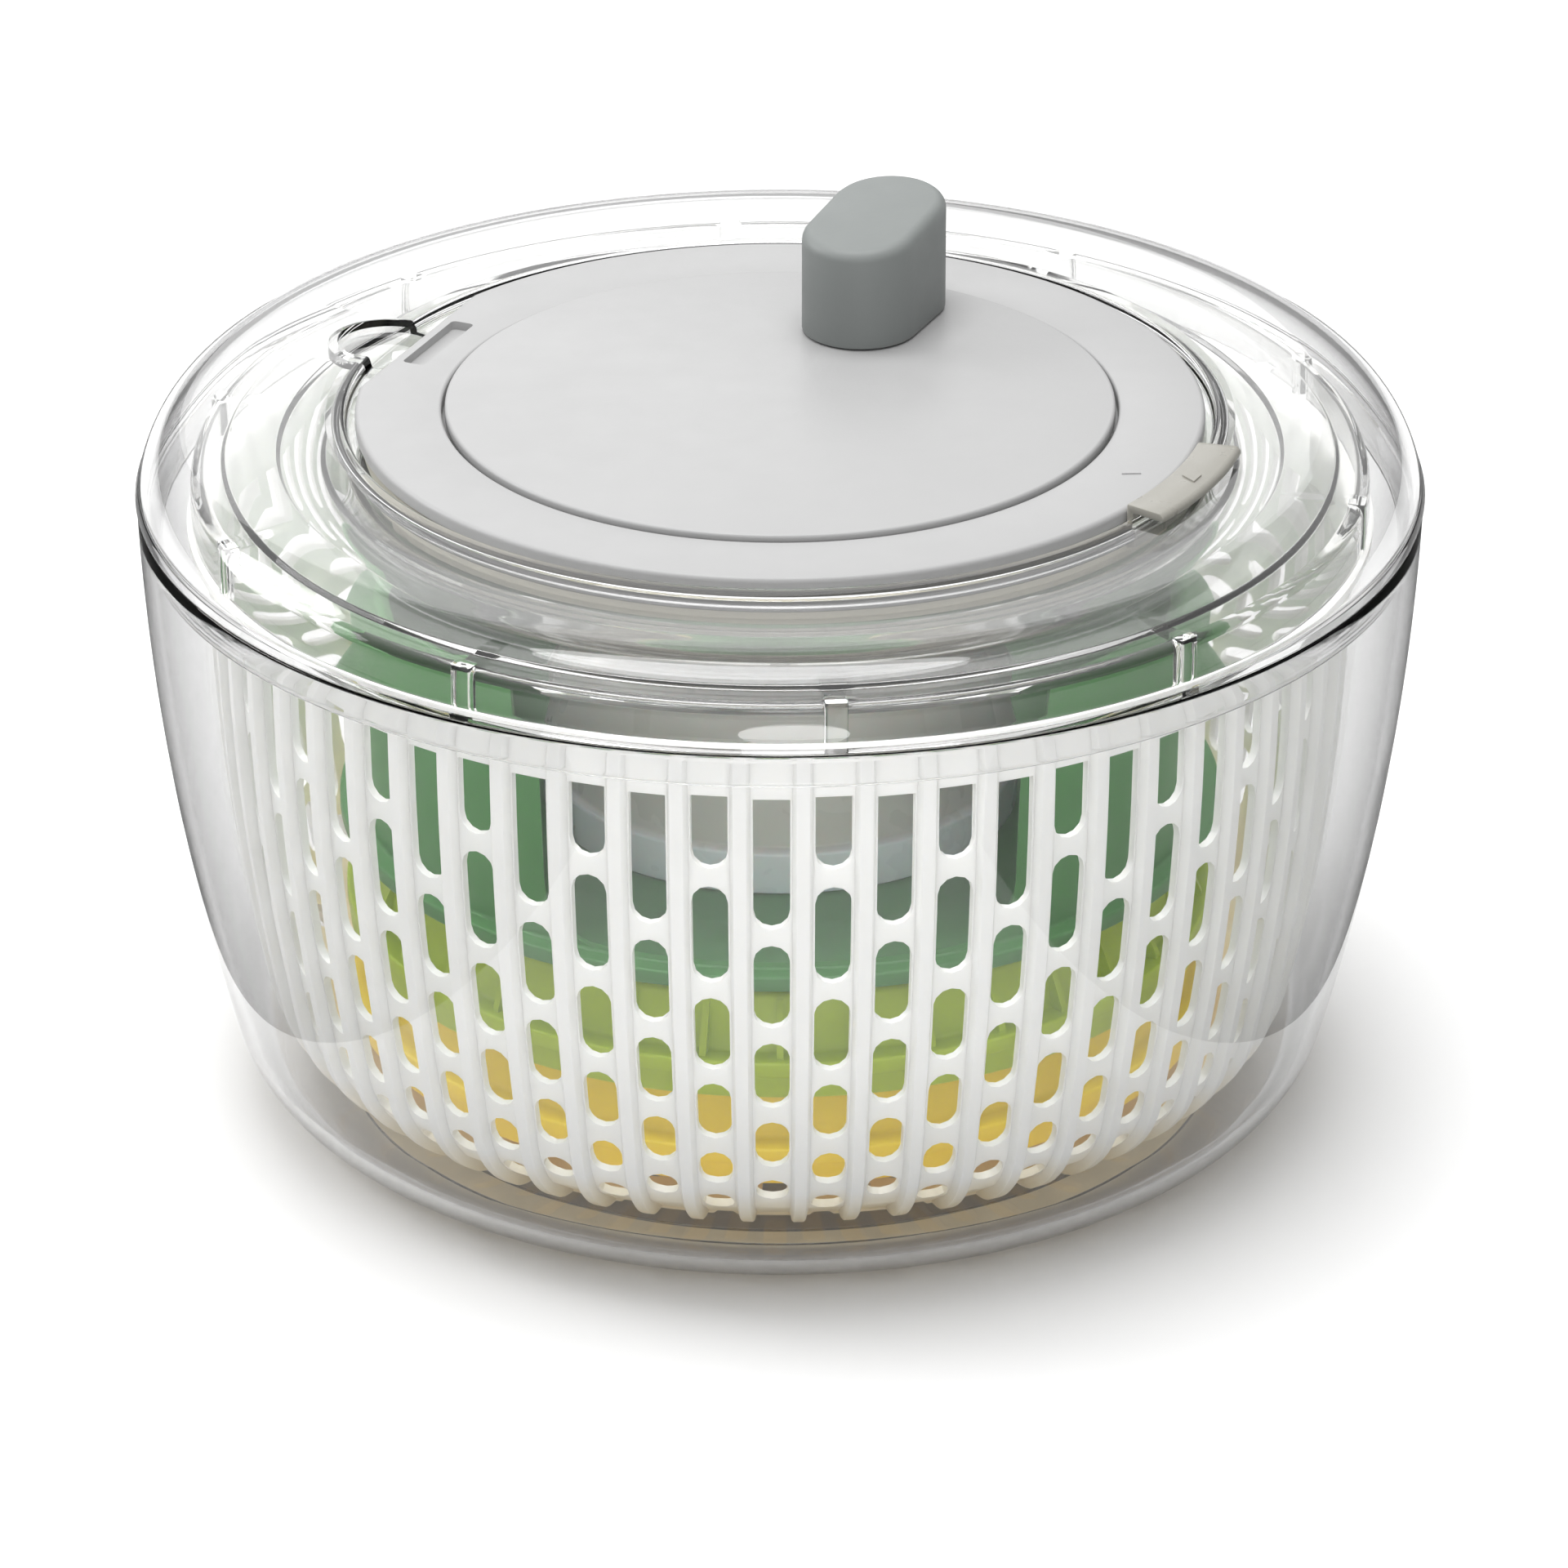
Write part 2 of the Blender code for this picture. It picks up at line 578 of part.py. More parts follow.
def lock_ring():
    hole = CRANK_R + RUN + 0.1
    plate_foot = RING_TOP - RING_PLATE
    neck_r = LID_HOLE_R - RUN - 0.2
    ledge_foot = RING_LEDGE_TOP - RING_LEDGE
    obj = turned("lock_ring", [
        (RING_LEDGE_R, RING_LEDGE_TOP), (hole, RING_LEDGE_TOP), (hole, RING_TOP - 0.4),
        (hole + 0.6, RING_TOP), (RING_R - 1.2, RING_TOP), (RING_R, RING_TOP - 1.0),
        (RING_R, plate_foot), (neck_r, plate_foot), (neck_r, RING_NECK_FOOT),
        (RING_NECK_INNER, RING_NECK_FOOT), (RING_NECK_INNER, ledge_foot),
        (RING_LEDGE_R, ledge_foot)], PALE_GREY)
    half_cut = 20.0
    flat_x, flat_y = plan_point(RING_CHORD + half_cut, SCOOP_ANGLE)
    drilled(obj, block("ring_flat", (2 * half_cut, 4 * half_cut, 2 * half_cut),
                       (flat_x, flat_y, RING_TOP), SCOOP_ANGLE))
    slot_x, slot_y = plan_point(GRIP_SLOT_DISTANCE, SCOOP_ANGLE)
    slot_top = RING_TOP + 4.0
    drilled(obj, block("grip_slot", (GRIP_SLOT[1], GRIP_SLOT[0], slot_top - GRIP_SLOT_FLOOR),
                       (slot_x, slot_y, (slot_top + GRIP_SLOT_FLOOR) / 2), SCOOP_ANGLE))


def crank():
    foot = CRANK_TOP - CRANK_SHEET
    disc = turned("crank_disc", [(0.0, CRANK_TOP), (CRANK_R - 0.8, CRANK_TOP),
                                 (CRANK_R, CRANK_TOP - 0.6), (CRANK_R, foot), (0.0, foot)], PALE_GREY)
    centre = plan_point(KNOB_DISTANCE, KNOB_ANGLE)
    drilled(disc, cylinder("spindle_hole", SPINDLE_R + SEAT, foot - 2.0, CRANK_TOP + 2.0, centre))
    turned("crank_bush", [(RING_LEDGE_R + 0.6, foot - SEAT), (CRANK_R, foot - SEAT),
                          (CRANK_R, RING_LEDGE_TOP + SEAT), (RING_LEDGE_R + 0.6, RING_LEDGE_TOP + SEAT)],
           GEAR_WHITE)
    knob(centre)


def stadium(radius, half, steps=8):
    """Points round a stadium whose long axis is X."""
    points = []
    for end, start in ((half, -math.pi / 2), (-half, math.pi / 2)):
        for i in range(steps + 1):
            angle = start + math.pi * i / steps
            points.append((end + radius * math.cos(angle), radius * math.sin(angle)))
    return points


def knob(centre):
    """The knob turns on a flanged spindle that comes up through the crank disc."""
    foot = CRANK_TOP + SEAT
    top = foot + KNOB_HEIGHT
    shape = extruded("knob", [stadium(KNOB_R, KNOB_HALF)], foot, top, KNOB_GREY)
    for corner in shape.data.vertices:
        if corner.co.z > 0:
            corner.co.z += corner.co.x * math.tan(KNOB_SLOPE)
    edge = shape.modifiers.new("soft edge", "BEVEL")
    edge.width = KNOB_EDGE * MM
    edge.segments = 2
    edge.limit_method = "ANGLE"
    edge.angle_limit = math.radians(60)
    shape.matrix_world = Matrix.Translation((centre[0] * MM, centre[1] * MM, (foot + top) / 2 * MM)) \
        @ Matrix.Rotation(KNOB_ANGLE, 4, "Z")
    bore = cylinder("knob_bore", SPINDLE_R + SEAT, foot - 2 * KNOB_EDGE,
                    CRANK_TOP + SPINDLE_LENGTH + 2 * SEAT, centre)
    drilled(shape, bore)
    disc_foot = CRANK_TOP - CRANK_SHEET
    flange_foot = disc_foot - SEAT - SPINDLE_FLANGE
    spindle = turned("knob_spindle", [
        (0.0, CRANK_TOP + SPINDLE_LENGTH), (SPINDLE_R, CRANK_TOP + SPINDLE_LENGTH),
        (SPINDLE_R, disc_foot - SEAT), (SPINDLE_FLANGE_R, disc_foot - SEAT),
        (SPINDLE_FLANGE_R, flange_foot), (0.0, flange_foot)], STEEL, SMALL_STEPS)
    spindle.location = (centre[0] * MM, centre[1] * MM, 0.0)


def gear_outline(teeth, phase=0.0, inward=False):
    """Straight-flanked teeth round the pitch circle; a ring gear's point inwards."""
    pitch_r = MODULE * teeth / 2
    outwards = -1.0 if inward else 1.0
    tip_r = pitch_r + outwards * MODULE
    root_r = pitch_r - outwards * ROOT_DEPTH * MODULE
    half = TOOTH_SHARE * math.pi * MODULE / 2
    tip_half = half - MODULE * math.tan(PRESSURE)
    root_half = half + ROOT_DEPTH * MODULE * math.tan(PRESSURE)
    points = []
    for tooth in range(teeth):
        middle = phase + 2 * math.pi * tooth / teeth
        for radius, offset in ((root_r, -root_half), (tip_r, -tip_half),
                               (tip_r, tip_half), (root_r, root_half)):
            points.append(plan_point(radius, middle + offset / radius))
    return points


def circle(radius, steps):
    return [plan_point(radius, 2 * math.pi * i / steps) for i in range(steps)]


def gear(name, teeth, bore, centre=(0.0, 0.0), phase=0.0):
    obj = extruded(name, [gear_outline(teeth, phase), circle(bore, 16)], GEAR_FOOT, GEAR_TOP, GEAR_WHITE)
    obj.location.x = centre[0] * MM
    obj.location.y = centre[1] * MM
    return obj


def gear_train():
    """The planets' centres are fixed in the case. Sun and ring have a tooth where a planet has a gap."""
    gear("sun_gear", SUN_TEETH, SHAFT_R + SEAT)
    distance = MODULE * (SUN_TEETH + PLANET_TEETH) / 2
    case_floor = CASE_UNDERSIDE + CASE_FLOOR
    for i in range(PLANETS):
        direction = 2 * math.pi * i / PLANETS
        centre = plan_point(distance, direction)
        gear(f"planet_gear_{i + 1}", PLANET_TEETH, AXLE_R + SEAT, centre,
             direction + math.pi / PLANET_TEETH)
        cylinder(f"planet_axle_{i + 1}", AXLE_R, case_floor - AXLE_SOCKET + SEAT, GEAR_TOP + 1.0, centre,
                 STEEL, 16)
    ring = extruded("ring_gear", [circle(RING_GEAR_R, BIG_STEPS), gear_outline(RING_TEETH, inward=True)],
                    GEAR_FOOT, GEAR_TOP, GEAR_WHITE)
    root_r = MODULE * (RING_TEETH / 2 + ROOT_DEPTH)
    neck_top = CRANK_TOP - CRANK_SHEET - SEAT
    neck = turned("ring_gear_neck", [(root_r + 0.5, neck_top), (RING_GEAR_NECK_R, neck_top),
                                     (RING_GEAR_NECK_R, GEAR_TOP - 1.0), (root_r + 0.5, GEAR_TOP - 1.0)],
                  home=CUTTERS)
    drilled(ring, neck, "UNION")


def gear_case():
    """The case hangs under the lid's ledge and carries the planets' axles."""
    floor = CASE_UNDERSIDE + CASE_FLOOR
    wall_top = RING_NECK_FOOT - SEAT
    flange_top = LID_LEDGE - LID_WALL - SEAT
    flange_inner = LID_HOLE_R - 0.4
    obj = turned("gear_case", [
        (SHAFT_R + SEAT, floor), (CASE_R - CASE_WALL, floor), (CASE_R - CASE_WALL, wall_top),
        (flange_inner, wall_top), (flange_inner, flange_top), (CASE_FLANGE_R, flange_top),
        (CASE_FLANGE_R, flange_top - 3.0), (CASE_R, flange_top - 4.5), (CASE_R, CASE_UNDERSIDE),
        (SHAFT_R + SEAT, CASE_UNDERSIDE)], CREAM)
    distance = MODULE * (SUN_TEETH + PLANET_TEETH) / 2
    for i in range(PLANETS):
        centre = plan_point(distance, 2 * math.pi * i / PLANETS)
        drilled(obj, cylinder(f"axle_socket_{i + 1}", AXLE_R + SEAT, floor - AXLE_SOCKET, floor + 5.0, centre,
                              steps=16))


def lock_tab():
    """A stepped tab that comes up beside the lock ring through a window in the lid."""
    foot_top = LID_LEDGE - LID_WALL - SEAT
    stem_inner = RING_R + 0.5
    stem_outer = stem_inner + TAB_SHEET - 0.3
    plate_foot = LID_TOP + SEAT
    plate_top = plate_foot + TAB_SHEET
    obj = turned("lock_tab", [
        (stem_inner, plate_top), (TAB_R - 0.8, plate_top), (TAB_R, plate_top - 0.6),
        (TAB_R, plate_foot), (stem_outer, plate_foot), (stem_outer, foot_top - TAB_SHEET),
        (CASE_FLANGE_R + SEAT, foot_top - TAB_SHEET), (CASE_FLANGE_R + SEAT, foot_top),
        (stem_inner, foot_top)], CREAM, BIG_STEPS)
    drilled(obj, tab_sector("tab_slice", TAB_SPAN, LID_HOLE_R, TAB_R + 4.0,
                            CASE_UNDERSIDE, LID_TOP + 9.0), "INTERSECT")


def output_shaft():
    """The shaft carries the sun gear, and a screw from below clamps the inner cover to its flange."""
    flange_foot = COVER_DISH + SEAT
    flange_top = CASE_UNDERSIDE - SEAT
    screw_bore = SCREW_R + SEAT
    shaft_top = GEAR_TOP + 1.0
    turned("output_shaft", [
        (0.0, shaft_top), (SHAFT_R, shaft_top), (SHAFT_R, flange_top), (2.4 * SHAFT_R, flange_top),
        (2.4 * SHAFT_R, flange_foot), (screw_bore, flange_foot), (screw_bore, shaft_top - 4.0),
        (0.0, shaft_top - 4.0)], STEEL, SMALL_STEPS)
    cover_under = COVER_DISH - COVER_WALL
    turned("cover_screw", [
        (0.0, shaft_top - 4.0 - SEAT), (SCREW_R, shaft_top - 4.0 - SEAT), (SCREW_R, cover_under - SEAT),
        (SCREW_HEAD_R, cover_under - SEAT), (SCREW_HEAD_R - 1.0, cover_under - SEAT - 1.6),
        (0.0, cover_under - SEAT - 1.6)], STEEL, SMALL_STEPS)


def inner_cover():
    wall = COVER_WALL
    rim_foot = BASKET_TOP + BASKET_WALL + SEAT
    screw_bore = SCREW_R + SEAT
    obj = turned("inner_cover", [
        (screw_bore, COVER_DISH), (COVER_DISH_R - 1.0, COVER_DISH), (COVER_DISH_R + 1.0, COVER_TOP),
        (COVER_R - 1.5, COVER_TOP), (COVER_R, COVER_TOP - 1.5), (COVER_R, rim_foot),
        (COVER_R - wall, rim_foot), (COVER_R - wall, COVER_TOP - wall),
        (COVER_DISH_R + 1.0 + wall, COVER_TOP - wall), (COVER_DISH_R - 1.0 + wall, COVER_DISH - wall),
        (screw_bore, COVER_DISH - wall)], CLEAR)
    radius = BASKET_RIM_R + RUN + LUG_DEPTH / 2
    for i in range(LUGS):
        column = 1 + i * COLUMNS // LUGS
        angle = COLUMN_PHASE - math.pi / 2 + column * 2 * math.pi / COLUMNS
        x, y = plan_point(radius, angle)
        top = COVER_TOP - 0.8
        drilled(obj, block(f"lug_{i + 1}", (LUG_DEPTH, LUG_WIDTH, top - LUG_FOOT),
                           (x, y, (top + LUG_FOOT) / 2), angle), "UNION")


bowl()
pivot()
basket()
cutting_frames()
food_holder()
lid()
lock_ring()
crank()
gear_train()
gear_case()
lock_tab()
output_shaft()
inner_cover()
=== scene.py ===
"""Salad spinner: a clear bowl and lid round a milky slotted basket, driven by a crank in the lid.

Sizes are in millimetres, and become metres as each mesh is made. The spin axis is Z, the bowl
stands on Z = 0, and the front faces -Y.
"""

import math

import bmesh
import bpy
from mathutils import Matrix, Vector


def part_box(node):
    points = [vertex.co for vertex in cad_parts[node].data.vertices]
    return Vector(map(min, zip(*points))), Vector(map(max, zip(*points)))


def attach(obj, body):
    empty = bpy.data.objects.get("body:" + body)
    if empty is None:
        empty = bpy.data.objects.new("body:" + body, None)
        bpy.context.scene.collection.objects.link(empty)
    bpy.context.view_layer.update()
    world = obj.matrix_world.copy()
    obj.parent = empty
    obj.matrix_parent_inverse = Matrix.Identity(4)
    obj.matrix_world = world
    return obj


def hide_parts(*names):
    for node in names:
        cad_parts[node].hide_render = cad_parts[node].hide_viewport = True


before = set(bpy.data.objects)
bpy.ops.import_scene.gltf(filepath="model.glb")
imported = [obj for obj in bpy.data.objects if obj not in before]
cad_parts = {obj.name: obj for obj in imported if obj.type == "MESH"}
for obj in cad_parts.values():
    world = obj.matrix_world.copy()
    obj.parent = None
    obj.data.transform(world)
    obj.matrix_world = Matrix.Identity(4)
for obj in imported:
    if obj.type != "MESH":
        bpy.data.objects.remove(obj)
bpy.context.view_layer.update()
MM = 0.001

# ---------------------------------------------------------------------------------------------
# Studio: a white floor under a soft sky that is darker towards the left and right, with one
# large lamp overhead, one on the left, one in front and a weak one at the back. Two black cards
# beside the bowl, seen only in its shine, give its clear sides dark edges.

FLOOR_HALF = 4.0
SKY_BRIGHT = 0.9
SKY_SIDE = 0.15
SKY_LOW = 0.2
CAMERA_DISTANCE = 1.800
CAMERA_TILT = math.radians(25.78)
CAMERA_AIM = Vector((0.0008, 0.0, 0.0624))
CAMERA_LENS = 197.7


def new_object(name, data):
    obj = bpy.data.objects.new(name, data)
    bpy.context.scene.collection.objects.link(obj)
    return obj


def sheet(name, corners, grey, roughness):
    """A flat sheet of one plain grey, for the studio."""
    mesh = bpy.data.meshes.new(name)
    mesh.from_pydata(corners, [], [(0, 1, 2, 3)])
    paint = bpy.data.materials.new(name)
    paint.use_nodes = True
    shader = paint.node_tree.nodes["Principled BSDF"]
    shader.inputs["Base Color"].default_value = (grey, grey, grey, 1)
    shader.inputs["Roughness"].default_value = roughness
    mesh.materials.append(paint)
    obj = new_object(name, mesh)
    return obj


sheet("floor", [(x * FLOOR_HALF, y * FLOOR_HALF, 0) for x, y in ((-1, -1), (1, -1), (1, 1), (-1, 1))],
      0.95, 0.9)

sky = bpy.data.worlds.new("sky")
sky.use_nodes = True
bpy.context.scene.world = sky
sky_nodes = sky.node_tree.nodes
sky_links = sky.node_tree.links
sky_direction = sky_nodes.new("ShaderNodeTexCoord")
sky_split = sky_nodes.new("ShaderNodeSeparateXYZ")
sky_side = sky_nodes.new("ShaderNodeMath")
sky_side.operation = "ABSOLUTE"
sky_fades = []
for low, high, dark, bright in ((0.45, 0.95, SKY_BRIGHT, SKY_SIDE), (0.0, 0.55, SKY_LOW, 1.0)):
    fade = sky_nodes.new("ShaderNodeMapRange")
    fade.interpolation_type = "SMOOTHSTEP"
    fade.inputs["From Min"].default_value = low
    fade.inputs["From Max"].default_value = high
    fade.inputs["To Min"].default_value = dark
    fade.inputs["To Max"].default_value = bright
    sky_fades.append(fade)
sky_strength = sky_nodes.new("ShaderNodeMath")
sky_strength.operation = "MULTIPLY"
sky_links.new(sky_direction.outputs["Generated"], sky_split.inputs[0])
sky_links.new(sky_split.outputs["X"], sky_side.inputs[0])
sky_links.new(sky_side.outputs[0], sky_fades[0].inputs["Value"])
sky_links.new(sky_split.outputs["Z"], sky_fades[1].inputs["Value"])
sky_links.new(sky_fades[0].outputs["Result"], sky_strength.inputs[0])
sky_links.new(sky_fades[1].outputs["Result"], sky_strength.inputs[1])
sky_links.new(sky_strength.outputs[0], sky_nodes["Background"].inputs["Strength"])
sky_nodes["Background"].inputs["Color"].default_value = (1.0, 1.0, 1.0, 1)


def lamp(name, place, aim, size, power):
    light = bpy.data.lights.new(name, "AREA")
    light.shape = "DISK"
    light.size = size
    light.energy = power
    obj = new_object(name, light)
    obj.location = place
    obj.rotation_euler = (Vector(aim) - Vector(place)).to_track_quat("-Z", "Y").to_euler()


lamp("top_lamp", (-0.1, 0.1, 2.2), (0, 0, 0.08), 1.4, 31.0)
lamp("left_lamp", (-1.5, 0.5, 1.0), (0, 0, 0.1), 0.9, 11.0)
lamp("back_lamp", (-0.4, 2.1, 1.05), (0, 0, 0.1), 1.3, 4.0)
lamp("front_lamp", (0.1, -2.5, 0.5), (0, 0, 0.08), 0.8, 8.0)

CARD_PLACE = 0.137
CARD_LENGTH = 0.5
CARD_FOOT = 0.001
CARD_TOP = 0.13
for name, x in (("left_card", -CARD_PLACE), ("right_card", CARD_PLACE)):
    card = sheet(name, [(x, -CARD_LENGTH / 2, CARD_FOOT), (x, CARD_LENGTH / 2, CARD_FOOT),
                        (x, CARD_LENGTH / 2, CARD_TOP), (x, -CARD_LENGTH / 2, CARD_TOP)], 0.02, 0.5)
    card.visible_camera = False
    card.visible_diffuse = False
    card.visible_transmission = False
    card.visible_shadow = False

camera = new_object("camera", bpy.data.cameras.new("camera"))
camera.data.lens = CAMERA_LENS
camera.location = CAMERA_AIM + CAMERA_DISTANCE * Vector((0, -math.cos(CAMERA_TILT), math.sin(CAMERA_TILT)))
camera.rotation_euler = (math.pi / 2 - CAMERA_TILT, 0, 0)
bpy.context.scene.camera = camera
bpy.context.scene.view_settings.view_transform = "Standard"

# ---------------------------------------------------------------------------------------------
# Bowl: one clear injection-moulded vessel. The wall is a long arc that leans out above a rounded
# corner, and the underside has a groove for the foot ring and a boss for the basket's pin.

BOWL_WALL = 2.8
BOWL_CORNER_R = 21.0
BOWL_SIDE_R = 505.0
BOWL_TILT = math.radians(15)
TURN_STEPS = 160


def size_of(node):
    """A node's lowest and highest corners, in millimetres."""
    low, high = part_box(node)
    return low / MM, high / MM


def vessel(rim_r, top, underside, corner_r, side_r, tilt, inset=0.0, side_points=24, corner_points=10):
    """(radius, height) points of a vessel's side, from the rim down to the edge of its flat floor."""
    corner_z = underside + corner_r
    side_z = corner_z + (side_r - corner_r) * math.sin(tilt)
    top_angle = math.asin((top - side_z) / side_r)
    side_x = rim_r - side_r * math.cos(top_angle)
    corner_x = side_x + (side_r - corner_r) * math.cos(tilt)
    points = []
    for i in range(side_points):
        angle = top_angle + (-tilt - top_angle) * i / side_points
        points.append((side_x + (side_r - inset) * math.cos(angle),
                       side_z + (side_r - inset) * math.sin(angle)))
    for i in range(corner_points + 1):
        angle = -tilt + (tilt - math.pi / 2) * i / corner_points
        points.append((corner_x + (corner_r - inset) * math.cos(angle),
                       corner_z + (corner_r - inset) * math.sin(angle)))
    return points


def rounded(points, closed):
    """(radius, height) points, with an arc in place of each point that has a fillet as a third value."""
    line = []
    count = len(points)
    for i, point in enumerate(points):
        fillet = point[2] if len(point) > 2 else 0.0
        here = Vector(point[:2])
        if not fillet or (not closed and i in (0, count - 1)):
            line.append(tuple(here))
            continue
        back = Vector(points[i - 1][:2]) - here
        ahead = Vector(points[(i + 1) % count][:2]) - here
        half = back.angle(ahead) / 2
        reach = min(fillet / math.tan(half), 0.49 * back.length, 0.49 * ahead.length)
        radius = reach * math.tan(half)
        middle = here + (back.normalized() + ahead.normalized()).normalized() * (radius / math.sin(half))
        start = here + back.normalized() * reach - middle
        end = here + ahead.normalized() * reach - middle
        steps = max(2, math.ceil((math.pi - 2 * half) / math.radians(24)))
        sweep = start.angle_signed(end)
        for k in range(steps + 1):
            turn = Matrix.Rotation(-sweep * k / steps, 2)
            line.append(tuple(middle + turn @ start))
    return line


def baked(obj):
    """The object with its modifiers' result as its own plain mesh, shaded smooth between sharp edges."""
    bpy.context.view_layer.update()
    graph = bpy.context.evaluated_depsgraph_get()
    mesh = bpy.data.meshes.new_from_object(obj.evaluated_get(graph))
    obj.modifiers.clear()
    obj.data = mesh
    mesh.name = obj.name
    mesh.shade_smooth()
    mesh.set_sharp_from_angle(angle=math.radians(32))
    return obj


def turned(name, points, steps=TURN_STEPS):
    """A turned solid from a profile that runs down its outer side, a loop unless it meets the axis."""
    closed = points[0][0] > 0
    line = rounded(points, closed)
    mesh = bpy.data.meshes.new(name)
    edges = [(i, i + 1) for i in range(len(line) - 1)]
    if closed:
        edges.append((len(line) - 1, 0))
    mesh.from_pydata([(r * MM, 0, z * MM) for r, z in line], edges, [])
    obj = new_object(name, mesh)
    screw = obj.modifiers.new("turn", "SCREW")
    screw.steps = screw.render_steps = steps
    screw.use_merge_vertices = True
    screw.merge_threshold = 0.000001
    return baked(obj)


def surface(name):
    """A new material: its tree, its Principled shader and a place on the piece for its patterns."""
    material = bpy.data.materials.new(name)
    material.use_nodes = True
    tree = material.node_tree
    where = tree.nodes.new("ShaderNodeTexCoord").outputs["Object"]
    return material, tree, tree.nodes["Principled BSDF"], where


def speckle(tree, where, scale, low, high, detail=3.0):
    """A soft random pattern between two values, with marks about 1/scale of a metre across."""
    noise = tree.nodes.new("ShaderNodeTexNoise")
    noise.inputs["Scale"].default_value = scale
    noise.inputs["Detail"].default_value = detail
    spread = tree.nodes.new("ShaderNodeMapRange")
    spread.inputs["From Min"].default_value = 0.3
    spread.inputs["From Max"].default_value = 0.7
    spread.inputs["To Min"].default_value = low
    spread.inputs["To Max"].default_value = high
    tree.links.new(where, noise.inputs["Vector"])
    tree.links.new(noise.outputs["Fac"], spread.inputs["Value"])
    return spread.outputs["Result"]


def blended(tree, factor, first, second):
    """A colour between two others."""
    mix = tree.nodes.new("ShaderNodeMix")
    mix.data_type = "RGBA"
    mix.inputs["A"].default_value = (*first, 1)
    mix.inputs["B"].default_value = (*second, 1)
    tree.links.new(factor, mix.inputs["Factor"])
    return mix.outputs["Result"]


def by_height(tree, where, foot, top, low, high):
    """A value that goes from low to high between two heights on the piece, in millimetres."""
    apart = tree.nodes.new("ShaderNodeSeparateXYZ")
    fade = tree.nodes.new("ShaderNodeMapRange")
    fade.inputs["From Min"].default_value = foot * MM
    fade.inputs["From Max"].default_value = top * MM
    fade.inputs["To Min"].default_value = low
    fade.inputs["To Max"].default_value = high
    tree.links.new(where, apart.inputs["Vector"])
    tree.links.new(apart.outputs["Z"], fade.inputs["Value"])
    return fade.outputs["Result"]


def relief(tree, shader, height, depth):
    """A fine unevenness of this depth, in millimetres."""
    bump = tree.nodes.new("ShaderNodeBump")
    bump.inputs["Distance"].default_value = depth * MM
    tree.links.new(height, bump.inputs["Height"])
    tree.links.new(bump.outputs["Normal"], shader.inputs["Normal"])


def clear_plastic(name, tint, painted_edge_shade, edge_blend, index=1.49):
    """Polished clear plastic, with painted shade that greys it where it is seen edge on, and a faint haze
    of fine wear.

    Lamp light passes straight through it, except near the base, where its thick curve bends it away.
    """
    material, tree, shader, where = surface(name)
    # Painted shade: seen edge on, the colour goes from tint to painted_edge_shade, in place of the darker
    # surroundings it would show there.
    facing = tree.nodes.new("ShaderNodeLayerWeight")
    facing.inputs["Blend"].default_value = edge_blend
    tree.links.new(blended(tree, facing.outputs["Facing"], tint, painted_edge_shade), shader.inputs["Base Color"])
    shader.inputs["Transmission Weight"].default_value = 1.0
    shader.inputs["IOR"].default_value = index
    shader.inputs["Specular IOR Level"].default_value = 0.3
    tree.links.new(speckle(tree, where, 60.0, 0.0, 0.035), shader.inputs["Roughness"])
    relief(tree, shader, speckle(tree, where, 25.0, 0.0, 1.0, 1.0), 0.02)
    through = tree.nodes.new("ShaderNodeBsdfTransparent")
    tree.links.new(by_height(tree, where, 0, 60, 0.1, 0.92), through.inputs["Color"])
    ray = tree.nodes.new("ShaderNodeLightPath")
    mix = tree.nodes.new("ShaderNodeMixShader")
    tree.links.new(ray.outputs["Is Shadow Ray"], mix.inputs["Fac"])
    tree.links.new(shader.outputs["BSDF"], mix.inputs[1])
    tree.links.new(through.outputs["BSDF"], mix.inputs[2])
    tree.links.new(mix.outputs["Shader"], tree.nodes["Material Output"].inputs["Surface"])
    return material


def finish_piece(obj, material, body, slot, *replaced):
    obj.data.materials.clear()
    obj.data.materials.append(material)
    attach(obj, body)
    if replaced:
        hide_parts(*replaced)
    return obj


bowl_low, bowl_high = size_of("bowl")
foot_high = size_of("foot_ring")[1]
BOWL_TOP = bowl_high.z
BOWL_RIM_R = bowl_high.x
BOWL_BASE = bowl_low.z
FOOT_GAP = 0.3
bowl_arcs = (BOWL_RIM_R, BOWL_TOP, BOWL_BASE, BOWL_CORNER_R, BOWL_SIDE_R, BOWL_TILT)
bowl_outer = vessel(*bowl_arcs)
bowl_inner = vessel(*bowl_arcs, inset=BOWL_WALL)
bowl_floor = BOWL_BASE + BOWL_WALL
foot_outer_r = foot_high.x
foot_inner_r = foot_outer_r - 7.4
groove_top = foot_high.z + FOOT_GAP
boss_top = 7.0
socket_r = 3.3
socket_floor = BOWL_BASE + BOWL_WALL / 2
bowl_points = [(0, socket_floor), (socket_r, socket_floor), (socket_r, boss_top, 0.3),
               (9.0, boss_top, 0.8), (9.0 + boss_top - bowl_floor, bowl_floor, 3.0)]
bowl_points += bowl_inner[:0:-1] + [(bowl_inner[0][0], BOWL_TOP, 0.7), (BOWL_RIM_R, BOWL_TOP, 0.7)]
bowl_points += bowl_outer[1:] + [
    (foot_outer_r + FOOT_GAP, BOWL_BASE, 0.4), (foot_outer_r + FOOT_GAP, groove_top),
    (foot_inner_r - FOOT_GAP, groove_top), (foot_inner_r - FOOT_GAP, BOWL_BASE, 0.4), (0, BOWL_BASE)]
# The bowl's edges are painted black where they are seen edge on: painted shade.
clear_bowl = clear_plastic("clear_bowl", (0.985, 0.985, 0.985), (0.0, 0.0, 0.0), 0.15)
finish_piece(turned("clear_bowl", bowl_points, 192), clear_bowl, "bowl", "clear", "bowl")

# ---------------------------------------------------------------------------------------------
# Foot ring: a soft rubber ring, cream, moulded on its own and pressed into the bowl's groove. It
# stands just under the bowl, with a shallow channel in its sole, so that the bowl doesn't slide.


